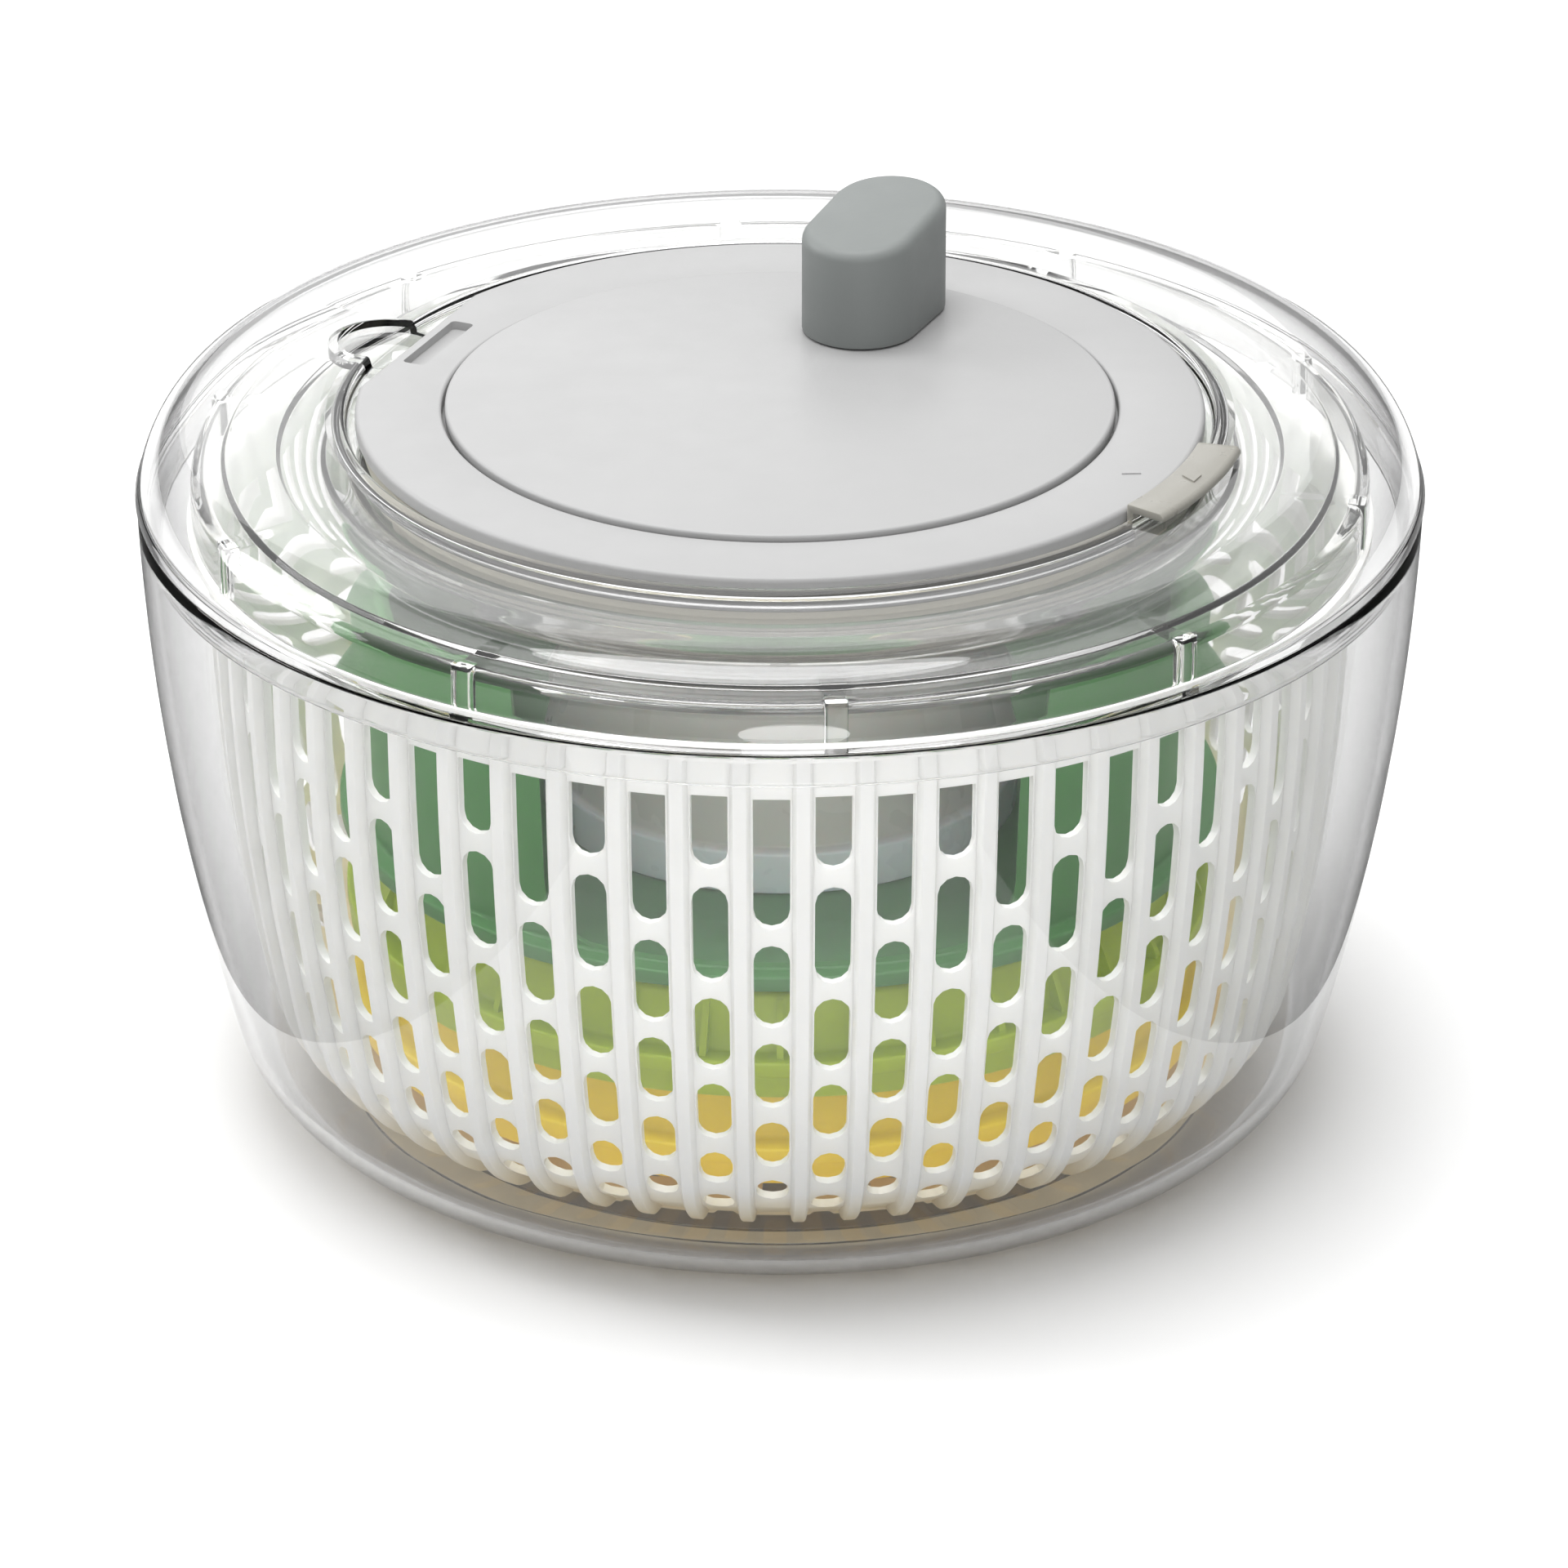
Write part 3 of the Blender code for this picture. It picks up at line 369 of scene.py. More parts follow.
def rubber(name, colour):
    """Matt rubber with a fine pebbled skin, a little dust in it, and a faint painted glow."""
    material, tree, shader, where = surface(name)
    dusty = [1.25 * value for value in colour]
    shade = blended(tree, speckle(tree, where, 140.0, 0.0, 1.0), colour, dusty)
    tree.links.new(shade, shader.inputs["Base Color"])
    tree.links.new(speckle(tree, where, 300.0, 0.6, 0.85), shader.inputs["Roughness"])
    # Painted light: the rubber glows a little in its own colour, in place of light that reaches it through
    # the clear base.
    shader.inputs["Emission Color"].default_value = (*colour, 1)
    shader.inputs["Emission Strength"].default_value = 0.3
    relief(tree, shader, speckle(tree, where, 2200.0, 0.0, 1.0), 0.03)
    return material


foot_ring = turned("grip_ring", [
    (foot_inner_r, foot_high.z, 0.3), (foot_outer_r, foot_high.z, 0.3),
    (foot_outer_r, 0.0, 0.8), (foot_inner_r + 4.6, 0.0, 0.2), (foot_inner_r + 4.3, 0.5, 0.1),
    (foot_inner_r + 3.1, 0.5, 0.1), (foot_inner_r + 2.8, 0.0, 0.2), (foot_inner_r, 0.0, 0.8)])
finish_piece(foot_ring, rubber("foot_rubber", (0.72, 0.62, 0.40)), "bowl", "foot_cream", "foot_ring")

# ---------------------------------------------------------------------------------------------
# Basket: milky polypropylene. Sixty columns of rounded slots run between upright ribs; the two
# slot patterns take turns, the webs between slots are thinner than the ribs, and each column
# goes on as a slot in the floor. A lip turns out at the top.

BASKET_WALL = 2.0
BASKET_CORNER_R = 24.0
BASKET_SIDE_R = 437.0
BASKET_TILT = math.radians(12)
BASKET_LIP = 4.5
COLUMNS = 60
COLUMN_PITCH = 2 * math.pi / COLUMNS
COLUMN_PHASE = math.radians(-90.8)
SLOT_HALF = 0.3 * COLUMN_PITCH
WEB_DROP = 0.8
WEB_WALL = 1.6
RIB_BASE = 0.185 * COLUMN_PITCH
RIB_CREST = 0.135 * COLUMN_PITCH
RIB_PROUD = 1.1
RIB_EDGE = 0.4
RIB_END_R = 92.0
RIB_STEPS = 56
WELD = 0.00001
CUP_R = 8.0
SLOTS_A = ((115.6, 86.8), (83.1, 63.9), (60.3, 44.7), (41.1, 29.9), (26.4, 20.6))
SLOTS_B = ((116.1, 100.1), (96.2, 74.2), (70.6, 53.6), (50.2, 36.7), (33.2, 25.1), (21.6, 16.8))
FLOOR_SLOTS_A = ((97.0, 90.5), (84.0, 66.0), (60.0, 44.0))
FLOOR_SLOTS_B = ((93.0, 86.0), (80.0, 62.0), (56.0, 40.0))
basket_low, basket_high = size_of("basket")
BASKET_TOP = basket_high.z - BASKET_WALL
BASKET_RIM_R = basket_high.x - BASKET_LIP


def run_lengths(line):
    """How far along a line of points each point lies."""
    lengths = [0.0]
    for start, end in zip(line, line[1:]):
        lengths.append(lengths[-1] + math.dist(start, end))
    return lengths


def along(line, lengths, run):
    """The point at this distance along a line."""
    for i in range(len(line) - 1):
        if run <= lengths[i + 1]:
            share = (run - lengths[i]) / (lengths[i + 1] - lengths[i])
            return tuple(a + (b - a) * share for a, b in zip(line[i], line[i + 1]))
    return line[-1]


def run_to(line, lengths, axis, value):
    """How far along the line its radius (axis 0) or height (axis 1) falls to a value."""
    for i in range(len(line) - 1):
        high, low = line[i][axis], line[i + 1][axis]
        if high > value >= low:
            return lengths[i] + (lengths[i + 1] - lengths[i]) * (high - value) / (high - low)
    raise ValueError(f"the line never falls to {value}")


def opening_half(slots, radius, run):
    """Half the width of the opening at this run, 0 between slots. Ends are round, the first is square."""
    half = SLOT_HALF * radius
    for number, (start, end) in enumerate(slots):
        if not start <= run <= end:
            continue
        reach = min(half, (end - start) / 2)
        edge = end - run if number == 0 else min(run - start, end - run)
        if edge >= reach:
            return half
        return half * math.sqrt(max(0.0, 1 - (1 - edge / reach) ** 2))
    return 0.0


def slot_levels(slots, radius):
    """The runs that a column needs vertices at: four along each round end."""
    half = SLOT_HALF * radius
    levels = []
    for number, (start, end) in enumerate(slots):
        reach = min(half, (end - start) / 2)
        arcs = [reach * (1 - math.cos(math.radians(angle))) for angle in (0, 30, 60, 90)]
        levels += [end - arc for arc in arcs]
        levels += [start - 0.02, start] if number == 0 else [start + arc for arc in arcs]
    return levels


basket_line = [(BASKET_RIM_R + BASKET_LIP, BASKET_TOP), (BASKET_RIM_R + 1.2, BASKET_TOP),
               (BASKET_RIM_R + 0.3, BASKET_TOP - 0.5)]
basket_line += vessel(BASKET_RIM_R, BASKET_TOP - 1.2, basket_low.z, BASKET_CORNER_R, BASKET_SIDE_R,
                      BASKET_TILT)
basket_line += [(CUP_R, basket_low.z)]
basket_runs = run_lengths(basket_line)
columns_slots = []
for wall_slots, floor_slots in ((SLOTS_A, FLOOR_SLOTS_A), (SLOTS_B, FLOOR_SLOTS_B)):
    runs = [tuple(round(run_to(basket_line, basket_runs, 1, value), 3) for value in slot)
            for slot in wall_slots]
    runs += [tuple(round(run_to(basket_line, basket_runs, 0, value), 3) for value in slot)
             for slot in floor_slots if slot[0] < 96.0]
    columns_slots.append([slot for i, slot in enumerate(runs) if i == 0 or slot[0] > runs[i - 1][1] + 1])
levels = [0.0, BASKET_LIP - 0.2, basket_runs[1], basket_runs[2], basket_runs[3], basket_runs[-1]]
for slots in columns_slots:
    for slot in slots:
        radius = along(basket_line, basket_runs, (slot[0] + slot[1]) / 2)[0]
        levels += slot_levels([slot], radius) if slot is slots[0] else \
            slot_levels([(-9.0, -8.0), slot], radius)[6:]
levels = sorted(set(round(level, 3) for level in levels if level >= 0))
levels = [level for i, level in enumerate(levels) if i == 0 or level - levels[i - 1] > 0.015]


def surface_point(run, angle, lift):
    """A point over the basket's outline at this run, turned to this angle and lifted off it."""
    r, z = along(basket_line, basket_runs, run)
    before = along(basket_line, basket_runs, max(0.0, run - 0.5))
    after = along(basket_line, basket_runs, min(basket_runs[-1], run + 0.5))
    slope = Vector((after[0] - before[0], after[1] - before[1])).normalized()
    reach = r - slope.y * lift
    return reach * math.cos(angle), reach * math.sin(angle), z + slope.x * lift


def column_strip(shape, slots, middle):
    """The web of one column with its slots: rows of vertices from one rib's middle to the next."""
    wall_start, wall_end = basket_runs[3], run_to(basket_line, basket_runs, 0, RIB_END_R)
    rows = []
    for run in levels:
        half = opening_half(slots, along(basket_line, basket_runs, run)[0], run)
        half /= along(basket_line, basket_runs, run)[0]
        drop = -WEB_DROP if wall_start < run < wall_end else 0.0
        row = []
        for number, angle in enumerate((-COLUMN_PITCH / 2, -SLOT_HALF, -half, half, SLOT_HALF,
                                        COLUMN_PITCH / 2)):
            if number == 3 and half == 0.0:
                row.append(row[-1])
            else:
                row.append(shape.verts.new(Vector(surface_point(run, middle + angle, drop)) * MM))
        rows.append(row)
    for row, below in zip(rows, rows[1:]):
        for i in (0, 1, 3, 4):
            shape.faces.new((row[i], below[i], below[i + 1], row[i + 1]))


def ring_tree():
    """A Geometry Nodes tree that sets copies of the piece's mesh round the Z axis."""
    tree = bpy.data.node_groups.new("ring_of_copies", "GeometryNodeTree")
    for name, kind in (("Geometry", "Geometry"), ("Count", "Int"), ("Start", "Float"),
                       ("Weld", "Float"), ("Material", "Material")):
        tree.interface.new_socket(name, in_out="INPUT", socket_type="NodeSocket" + kind)
    tree.interface.new_socket("Geometry", in_out="OUTPUT", socket_type="NodeSocketGeometry")
    nodes, links = tree.nodes, tree.links
    given = nodes.new("NodeGroupInput")
    points = nodes.new("GeometryNodePoints")
    index = nodes.new("GeometryNodeInputIndex")
    step = nodes.new("ShaderNodeMath")
    step.operation = "DIVIDE"
    step.inputs[0].default_value = 2 * math.pi
    angle = nodes.new("ShaderNodeMath")
    angle.operation = "MULTIPLY_ADD"
    turn = nodes.new("ShaderNodeCombineXYZ")
    copies = nodes.new("GeometryNodeInstanceOnPoints")
    real = nodes.new("GeometryNodeRealizeInstances")
    weld = nodes.new("GeometryNodeMergeByDistance")
    paint = nodes.new("GeometryNodeSetMaterial")
    result = nodes.new("NodeGroupOutput")
    links.new(given.outputs["Count"], points.inputs["Count"])
    links.new(given.outputs["Count"], step.inputs[1])
    links.new(index.outputs[0], angle.inputs[0])
    links.new(step.outputs[0], angle.inputs[1])
    links.new(given.outputs["Start"], angle.inputs[2])
    links.new(angle.outputs[0], turn.inputs["Z"])
    links.new(points.outputs[0], copies.inputs["Points"])
    links.new(given.outputs["Geometry"], copies.inputs["Instance"])
    links.new(turn.outputs[0], copies.inputs["Rotation"])
    links.new(copies.outputs[0], real.inputs["Geometry"])
    links.new(real.outputs[0], weld.inputs["Geometry"])
    links.new(given.outputs["Weld"], weld.inputs["Distance"])
    links.new(weld.outputs[0], paint.inputs["Geometry"])
    links.new(given.outputs["Material"], paint.inputs["Material"])
    links.new(paint.outputs[0], result.inputs[0])
    return tree


RING_TREE = ring_tree()


def ring_of(obj, count, start, material, weld=0.0):
    """The object's mesh copied round the axis, as one plain mesh. The first copy is turned to start."""
    modifier = obj.modifiers.new("ring", "NODES")
    modifier.node_group = RING_TREE
    values = {"Count": count, "Start": start, "Weld": weld, "Material": material}
    for socket in RING_TREE.interface.items_tree:
        if socket.in_out == "INPUT" and socket.name in values:
            modifier[socket.identifier] = values[socket.name]
    return baked(obj)


def lofted(name, loops, ends="capped"):
    """A skin through loops of points. Its ends are capped, joined into a ring, or left open."""
    shape = bmesh.new()
    rows = [[shape.verts.new(Vector(point) * MM) for point in loop] for loop in loops]
    pairs = list(zip(rows, rows[1:]))
    if ends == "joined":
        pairs.append((rows[-1], rows[0]))
    if ends == "capped":
        shape.faces.new(rows[0])
        shape.faces.new(rows[-1])
    for row, following in pairs:
        for i in range(len(row)):
            k = (i + 1) % len(row)
            shape.faces.new((row[i], row[k], following[k], following[i]))
    if ends != "open":
        bmesh.ops.recalc_face_normals(shape, faces=shape.faces)
    mesh = bpy.data.meshes.new(name)
    shape.to_mesh(mesh)
    shape.free()
    return new_object(name, mesh)


def milky_plastic(name, colour, glow, roughness, painted_glow=0.0, painted_low_shade=None):
    """Cloudy plastic that light sinks into, with a satin skin and faint flow marks.

    painted_low_shade: a warmer, darker tone painted near the base in place of colour, standing in for shade
    there and for the yellow frame's bounced light.
    """
    material, tree, shader, where = surface(name)
    marked = [0.95 * value for value in colour]
    shade = blended(tree, speckle(tree, where, 35.0, 0.0, 1.0), colour, marked)
    # Painted shade: up to 12 mm the colour is the warmer, darker low tone, and it blends back to colour by
    # 24 mm.
    if painted_low_shade:
        painted_low = blended(tree, by_height(tree, where, 12, 24, 0.0, 1.0), painted_low_shade, colour)
        tree.links.new(shade, painted_low.node.inputs["B"])
        shade = painted_low
    tree.links.new(shade, shader.inputs["Base Color"])
    # Painted light: the plastic glows in its own colour, as strongly as painted_glow says.
    tree.links.new(shade, shader.inputs["Emission Color"])
    shader.inputs["Subsurface Weight"].default_value = glow
    shader.inputs["Subsurface Radius"].default_value = (1.0, 0.95, 0.85)
    shader.inputs["Subsurface Scale"].default_value = 0.004
    shader.inputs["Emission Strength"].default_value = painted_glow
    tree.links.new(speckle(tree, where, 90.0, roughness - 0.05, roughness + 0.06),
                   shader.inputs["Roughness"])
    relief(tree, shader, speckle(tree, where, 420.0, 0.0, 1.0), 0.02)
    return material


basket_mesh = bpy.data.meshes.new("slotted_basket")
basket_shape = bmesh.new()
column_strip(basket_shape, columns_slots[0], 0.0)
column_strip(basket_shape, columns_slots[1], COLUMN_PITCH)
basket_shape.to_mesh(basket_mesh)
basket_shape.free()
# The basket is painted darker and warmer near its base, and given a faint painted glow.
milky = milky_plastic("milky_basket", (0.95, 0.95, 0.92), 0.4, 0.35, 0.05, (0.85, 0.70, 0.42))
basket = ring_of(new_object("slotted_basket", basket_mesh), COLUMNS // 2, COLUMN_PHASE, milky, WELD)
wall = basket.modifiers.new("wall", "SOLIDIFY")
wall.thickness = WEB_WALL * MM
wall.offset = -1.0
baked(basket)
rib_start = basket_runs[2]
rib_end = run_to(basket_line, basket_runs, 0, RIB_END_R)
rib_loops = []
for step in range(RIB_STEPS + 1):
    share = step / RIB_STEPS
    run = rib_start + (rib_end - rib_start) * share
    edge = RIB_EDGE / BASKET_RIM_R
    crest = RIB_PROUD * min(1.0, (1.0 - share) / 0.04 + 0.3)
    section = ((-RIB_BASE, -WEB_DROP - 0.8), (-RIB_CREST, crest - RIB_EDGE), (-RIB_CREST + edge, crest),
               (RIB_CREST - edge, crest), (RIB_CREST, crest - RIB_EDGE), (RIB_BASE, -WEB_DROP - 0.8))
    rib_loops.append([surface_point(run, angle, lift) for angle, lift in section])
ribs = ring_of(lofted("ribs", rib_loops), COLUMNS, COLUMN_PHASE + COLUMN_PITCH / 2, milky)
joined = bmesh.new()
joined.from_mesh(basket.data)
joined.from_mesh(ribs.data)
joined.to_mesh(basket.data)
joined.free()
bpy.data.objects.remove(ribs)
finish_piece(basket, milky, "basket", "milky", "basket")

# ---------------------------------------------------------------------------------------------
# Centre pivot: a white acetal pin pressed in the bowl's boss, and the cup that turns on it, which
# is fixed under the middle of the basket's floor.


def acetal(name, colour):
    """Slippery white gear plastic, slightly waxy."""
    return milky_plastic(name, colour, 0.15, 0.4)


def repaint(material, *nodes):
    for node in nodes:
        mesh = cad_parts[node].data
        mesh.materials.clear()
        mesh.materials.append(material)


pivot_white = acetal("pivot_white", (0.8, 0.8, 0.78))
repaint(pivot_white, "pivot_pin", "pivot_cup")

# ---------------------------------------------------------------------------------------------
# Cutting frames: three moulded trays, stacked upside down. Each has a window under a steel blade,
# a flange with a hem all round, and a collar inside it that stands on the plate below.

SKIN = 1.8
FRAME_TOP_R = 84.0
FRAME_FOOT_R = 86.0
COLLAR_R = 60.0
BAND = 3.3
BAND_PROUD = 0.5
STIFFENERS = 36
STIFFENER_HALF = math.radians(0.45)
basket_floor = basket_low.z + BASKET_WALL


def plan(distance, angle):
    return distance * math.cos(angle), distance * math.sin(angle)


def prism(name, outline, foot, top):
    """An upright prism over an outline of (x, y) points."""
    return lofted(name, [[(x, y, z) for x, y in outline] for z in (foot, top)])


def rectangle(width, depth, centre=(0.0, 0.0), turn=0.0, corner=0.0):
    """The outline of a rectangle with rounded corners."""
    steps = 4 if corner else 0
    points = []
    for quarter, (side, end) in enumerate(((1, 1), (-1, 1), (-1, -1), (1, -1))):
        for i in range(steps + 1):
            angle = (quarter + (i / steps if steps else 0.5)) * math.pi / 2
            x = side * (width / 2 - corner) + corner * math.cos(angle)
            y = end * (depth / 2 - corner) + corner * math.sin(angle)
            points.append((centre[0] + x * math.cos(turn) - y * math.sin(turn),
                           centre[1] + x * math.sin(turn) + y * math.cos(turn)))
    return points


def circle(radius, centre=(0.0, 0.0), steps=64):
    turns = [2 * math.pi * i / steps for i in range(steps)]
    return [(centre[0] + radius * math.cos(turn), centre[1] + radius * math.sin(turn)) for turn in turns]


def combined(obj, tool, operation="DIFFERENCE"):
    """The object with one EXACT Boolean made on it. The tool is used up."""
    step = obj.modifiers.new("combined", "BOOLEAN")
    step.operation = operation
    step.solver = "EXACT"
    step.object = tool
    baked(obj)
    bpy.data.objects.remove(tool)
    return obj


def opaque_plastic(name, colour, roughness=0.4, glow=0.12, mark=0.08, painted_glow=0.0):
    """Dyed plastic with a satin skin: faint flow marks in its colour and its shine, and a fine grain.

    painted_glow: how far it glows with painted light, in place of the light that has soaked in.
    """
    material, tree, shader, where = surface(name)
    marked = [(1 - mark) * value for value in colour]
    shade = blended(tree, speckle(tree, where, 28.0, 0.0, 1.0), colour, marked)
    tree.links.new(shade, shader.inputs["Base Color"])
    shader.inputs["Subsurface Weight"].default_value = glow
    shader.inputs["Subsurface Radius"].default_value = (1.0, 1.0, 1.0)
    shader.inputs["Subsurface Scale"].default_value = 0.002
    # Painted light: the plastic glows in its own colour, as strongly as painted_glow says.
    shader.inputs["Emission Color"].default_value = (*colour, 1)
    shader.inputs["Emission Strength"].default_value = painted_glow
    tree.links.new(speckle(tree, where, 120.0, roughness - 0.05, roughness + 0.05),
                   shader.inputs["Roughness"])
    relief(tree, shader, speckle(tree, where, 900.0, 0.0, 1.0), 0.012)
    return material


def framed_window(obj, node):
    """The window in a frame's plate, as long as its blade is and a little narrower."""
    low, high = size_of(node)
    hole = prism("window", rectangle(high.x - low.x - 12, high.y - low.y - 16, corner=2.0),
                 low.z - 6, high.z + 2)
    return combined(obj, hole)


def tray(name, node, blade_node, flange, stands_on):
    """A frame's mesh: its plate, flared side, banded flange with a hem, and its collar."""
    low, high = size_of(node)
    top = high.z
    flange_r = high.x
    foot = stands_on + 0.3
    hem = max(low.z, flange - 8.0)
    return framed_window(turned(name, [
        (0, top), (FRAME_TOP_R, top, 1.5), (FRAME_FOOT_R, flange, 1.0), (flange_r, flange, 0.6),
        (flange_r, flange - BAND, 0.3), (flange_r - BAND_PROUD, flange - BAND - 0.2),
        (flange_r - BAND_PROUD, hem, 0.4), (flange_r - SKIN, hem, 0.4),
        (flange_r - SKIN, flange - SKIN), (FRAME_FOOT_R - SKIN, flange - SKIN),
        (FRAME_TOP_R - SKIN, top - SKIN), (COLLAR_R, top - SKIN), (COLLAR_R, foot, 0.5),
        (COLLAR_R - SKIN, foot, 0.5), (COLLAR_R - SKIN, top - SKIN), (0, top - SKIN)], 128), blade_node)


def stiffened(obj, flange, top, material):
    """The tray with a row of upright stiffening ribs added round its flared side."""
    half = STIFFENER_HALF
    loops = []
    for angle in (-half, half):
        loops.append([(*plan(r, angle), z) for r, z in (
            (FRAME_TOP_R - 1.0, top - 1.6), (FRAME_TOP_R + 0.4, top - 1.2),
            (FRAME_FOOT_R + 3.2, flange + 0.9), (FRAME_FOOT_R + 3.2, flange - 0.8),
            (FRAME_FOOT_R - 1.2, flange - 0.8))])
    rib = lofted("stiffeners", loops)
    return combined(obj, ring_of(rib, STIFFENERS, 0.0, material), "UNION")


slicer_high = size_of("slicer_frame")[1]
grater_high = size_of("grater_frame")[1]
SLICER_FLANGE = 25.3
GRATER_FLANGE = 44.8
# The yellow and lime frames glow a little with painted light.
yellow = opaque_plastic("yellow_slicer", (0.95, 0.70, 0.0), painted_glow=0.09)
lime = opaque_plastic("lime_grater", (0.42, 0.56, 0.005), painted_glow=0.03)
slicer = tray("yellow_slicer", "slicer_frame", "slicer_blade", SLICER_FLANGE, basket_floor)
finish_piece(slicer, yellow, "basket", "yellow", "slicer_frame")
grater = tray("lime_grater", "grater_frame", "grater_blade", GRATER_FLANGE, slicer_high.z)
stiffened(grater, GRATER_FLANGE, grater_high.z, lime)
finish_piece(grater, lime, "basket", "lime", "grater_frame")

# ---------------------------------------------------------------------------------------------
# Spiral frame: the dark green top tray. Its plate is dished, and its wall is cut down at the front
# and back to leave a tall wing on each side.

PLATE_FLAT_R = 62.0
WING_SKIN = 1.8
WING_GAP = 98.0
WING_CORNER = 12.0
spiral_high = size_of("spiral_frame")[1]
holder_low, holder_high = size_of("food_holder")
plate_top = holder_low.z - 0.3
plate_under = plate_top - SKIN
flange_r = spiral_high.x
wing_r = flange_r - 4.0
wing_top = spiral_high.z
rim_top = plate_top + 3.0
hem = rim_top - 3.2
stand = grater_high.z + 0.3
spiral = turned("green_spiral", [
    (0, plate_top), (PLATE_FLAT_R, plate_top, 6.0), (wing_r - WING_SKIN, rim_top, 1.2),
    (wing_r - WING_SKIN, wing_top, 0.7), (wing_r, wing_top, 0.7), (wing_r, rim_top, 0.8),
    (flange_r, rim_top, 0.6), (flange_r, hem, 0.4), (flange_r - WING_SKIN, hem, 0.4),
    (flange_r - WING_SKIN, rim_top - SKIN), (wing_r - WING_SKIN, rim_top - SKIN),
    (PLATE_FLAT_R, plate_under), (COLLAR_R, plate_under), (COLLAR_R, stand, 0.5),
    (COLLAR_R - SKIN, stand, 0.5), (COLLAR_R - SKIN, plate_under), (0, plate_under)], 128)
half_gap = WING_GAP / 2
sill = rim_top + 0.4
opening_line = [(-half_gap - 6.0, wing_top + 3.0), (-half_gap + 1.0, wing_top - WING_CORNER)]
opening_line += [(-half_gap + 2.0 + WING_CORNER * (1 - math.cos(math.radians(turn))),
                  sill + WING_CORNER * (1 - math.sin(math.radians(turn)))) for turn in range(0, 91, 15)]
opening_line += [(-x, z) for x, z in reversed(opening_line)]
gap_loops = [[(x, y, z) for x, z in opening_line] for y in (-flange_r - 5, flange_r + 5)]
combined(spiral, lofted("wing_gap", gap_loops))
framed_window(spiral, "spiral_blade")
dark_green = opaque_plastic("green_spiral", (0.06, 0.22, 0.055))
finish_piece(spiral, dark_green, "basket", "dark_green", "spiral_frame")

# ---------------------------------------------------------------------------------------------
# Blades: three stainless sheets, one fixed over each frame's window. They are ground and brushed
# along their length.


def brushed_steel(name, stretch):
    material, tree, shader, where = surface(name)
    shader.inputs["Metallic"].default_value = 1.0
    shader.inputs["Base Color"].default_value = (0.62, 0.62, 0.63, 1)
    grain = tree.nodes.new("ShaderNodeMapping")
    grain.inputs["Scale"].default_value = stretch
    tree.links.new(where, grain.inputs["Vector"])
    lines = speckle(tree, grain.outputs["Vector"], 900.0, 0.2, 0.4)
    tree.links.new(lines, shader.inputs["Roughness"])
    relief(tree, shader, lines, 0.01)
    return material


repaint(brushed_steel("blade_steel", (0.03, 1.0, 1.0)), "slicer_blade", "grater_blade", "spiral_blade")

# ---------------------------------------------------------------------------------------------
# Food holder: an upturned cup moulded in smoky plastic, with a thicker, clearer band at its foot
# and a round grip on its crown. It stands loose on the top tray.

holder_r = holder_high.x
HOLDER_CUP_R = holder_r - 2.0
HOLDER_BAND = 9.0
HOLDER_CROWN = 104.0
HOLDER_SKIN = 2.0
GRIP_R = 14.0
band_top = holder_low.z + HOLDER_BAND
holder = turned("holder_cup", [
    (0, holder_high.z), (GRIP_R, holder_high.z, 3.0), (GRIP_R - 3.0, HOLDER_CROWN + 3.0, 4.0),
    (GRIP_R + 2.0, HOLDER_CROWN, 3.0), (HOLDER_CUP_R, HOLDER_CROWN, 4.0),
    (HOLDER_CUP_R, band_top + 0.6, 0.5), (holder_r, band_top, 0.8), (holder_r, holder_low.z, 0.5),
    (HOLDER_CUP_R - HOLDER_SKIN, holder_low.z, 0.4),
    (HOLDER_CUP_R - HOLDER_SKIN, HOLDER_CROWN - HOLDER_SKIN, 2.5),
    (0, HOLDER_CROWN - HOLDER_SKIN)], 96)
smoky, tree, shader, where = surface("holder_cup")
band = by_height(tree, where, band_top - 0.4, band_top + 0.8, 0.0, 1.0)
band.node.interpolation_type = "SMOOTHSTEP"
tree.links.new(blended(tree, band, (0.66, 0.72, 0.74), (0.52, 0.52, 0.47)), shader.inputs["Base Color"])
shader.inputs["Subsurface Weight"].default_value = 0.3
shader.inputs["Subsurface Scale"].default_value = 0.004
tree.links.new(speckle(tree, where, 80.0, 0.22, 0.34), shader.inputs["Roughness"])
relief(tree, shader, speckle(tree, where, 420.0, 0.0, 1.0), 0.02)
finish_piece(holder, smoky, "basket", "milky", "food_holder")

# ---------------------------------------------------------------------------------------------
# Inner cover: a clear moulded disc that turns with the basket. Its dish hangs under the gear case,
# steps run round its top, and ten lugs on its rim stand just over the basket's lip.

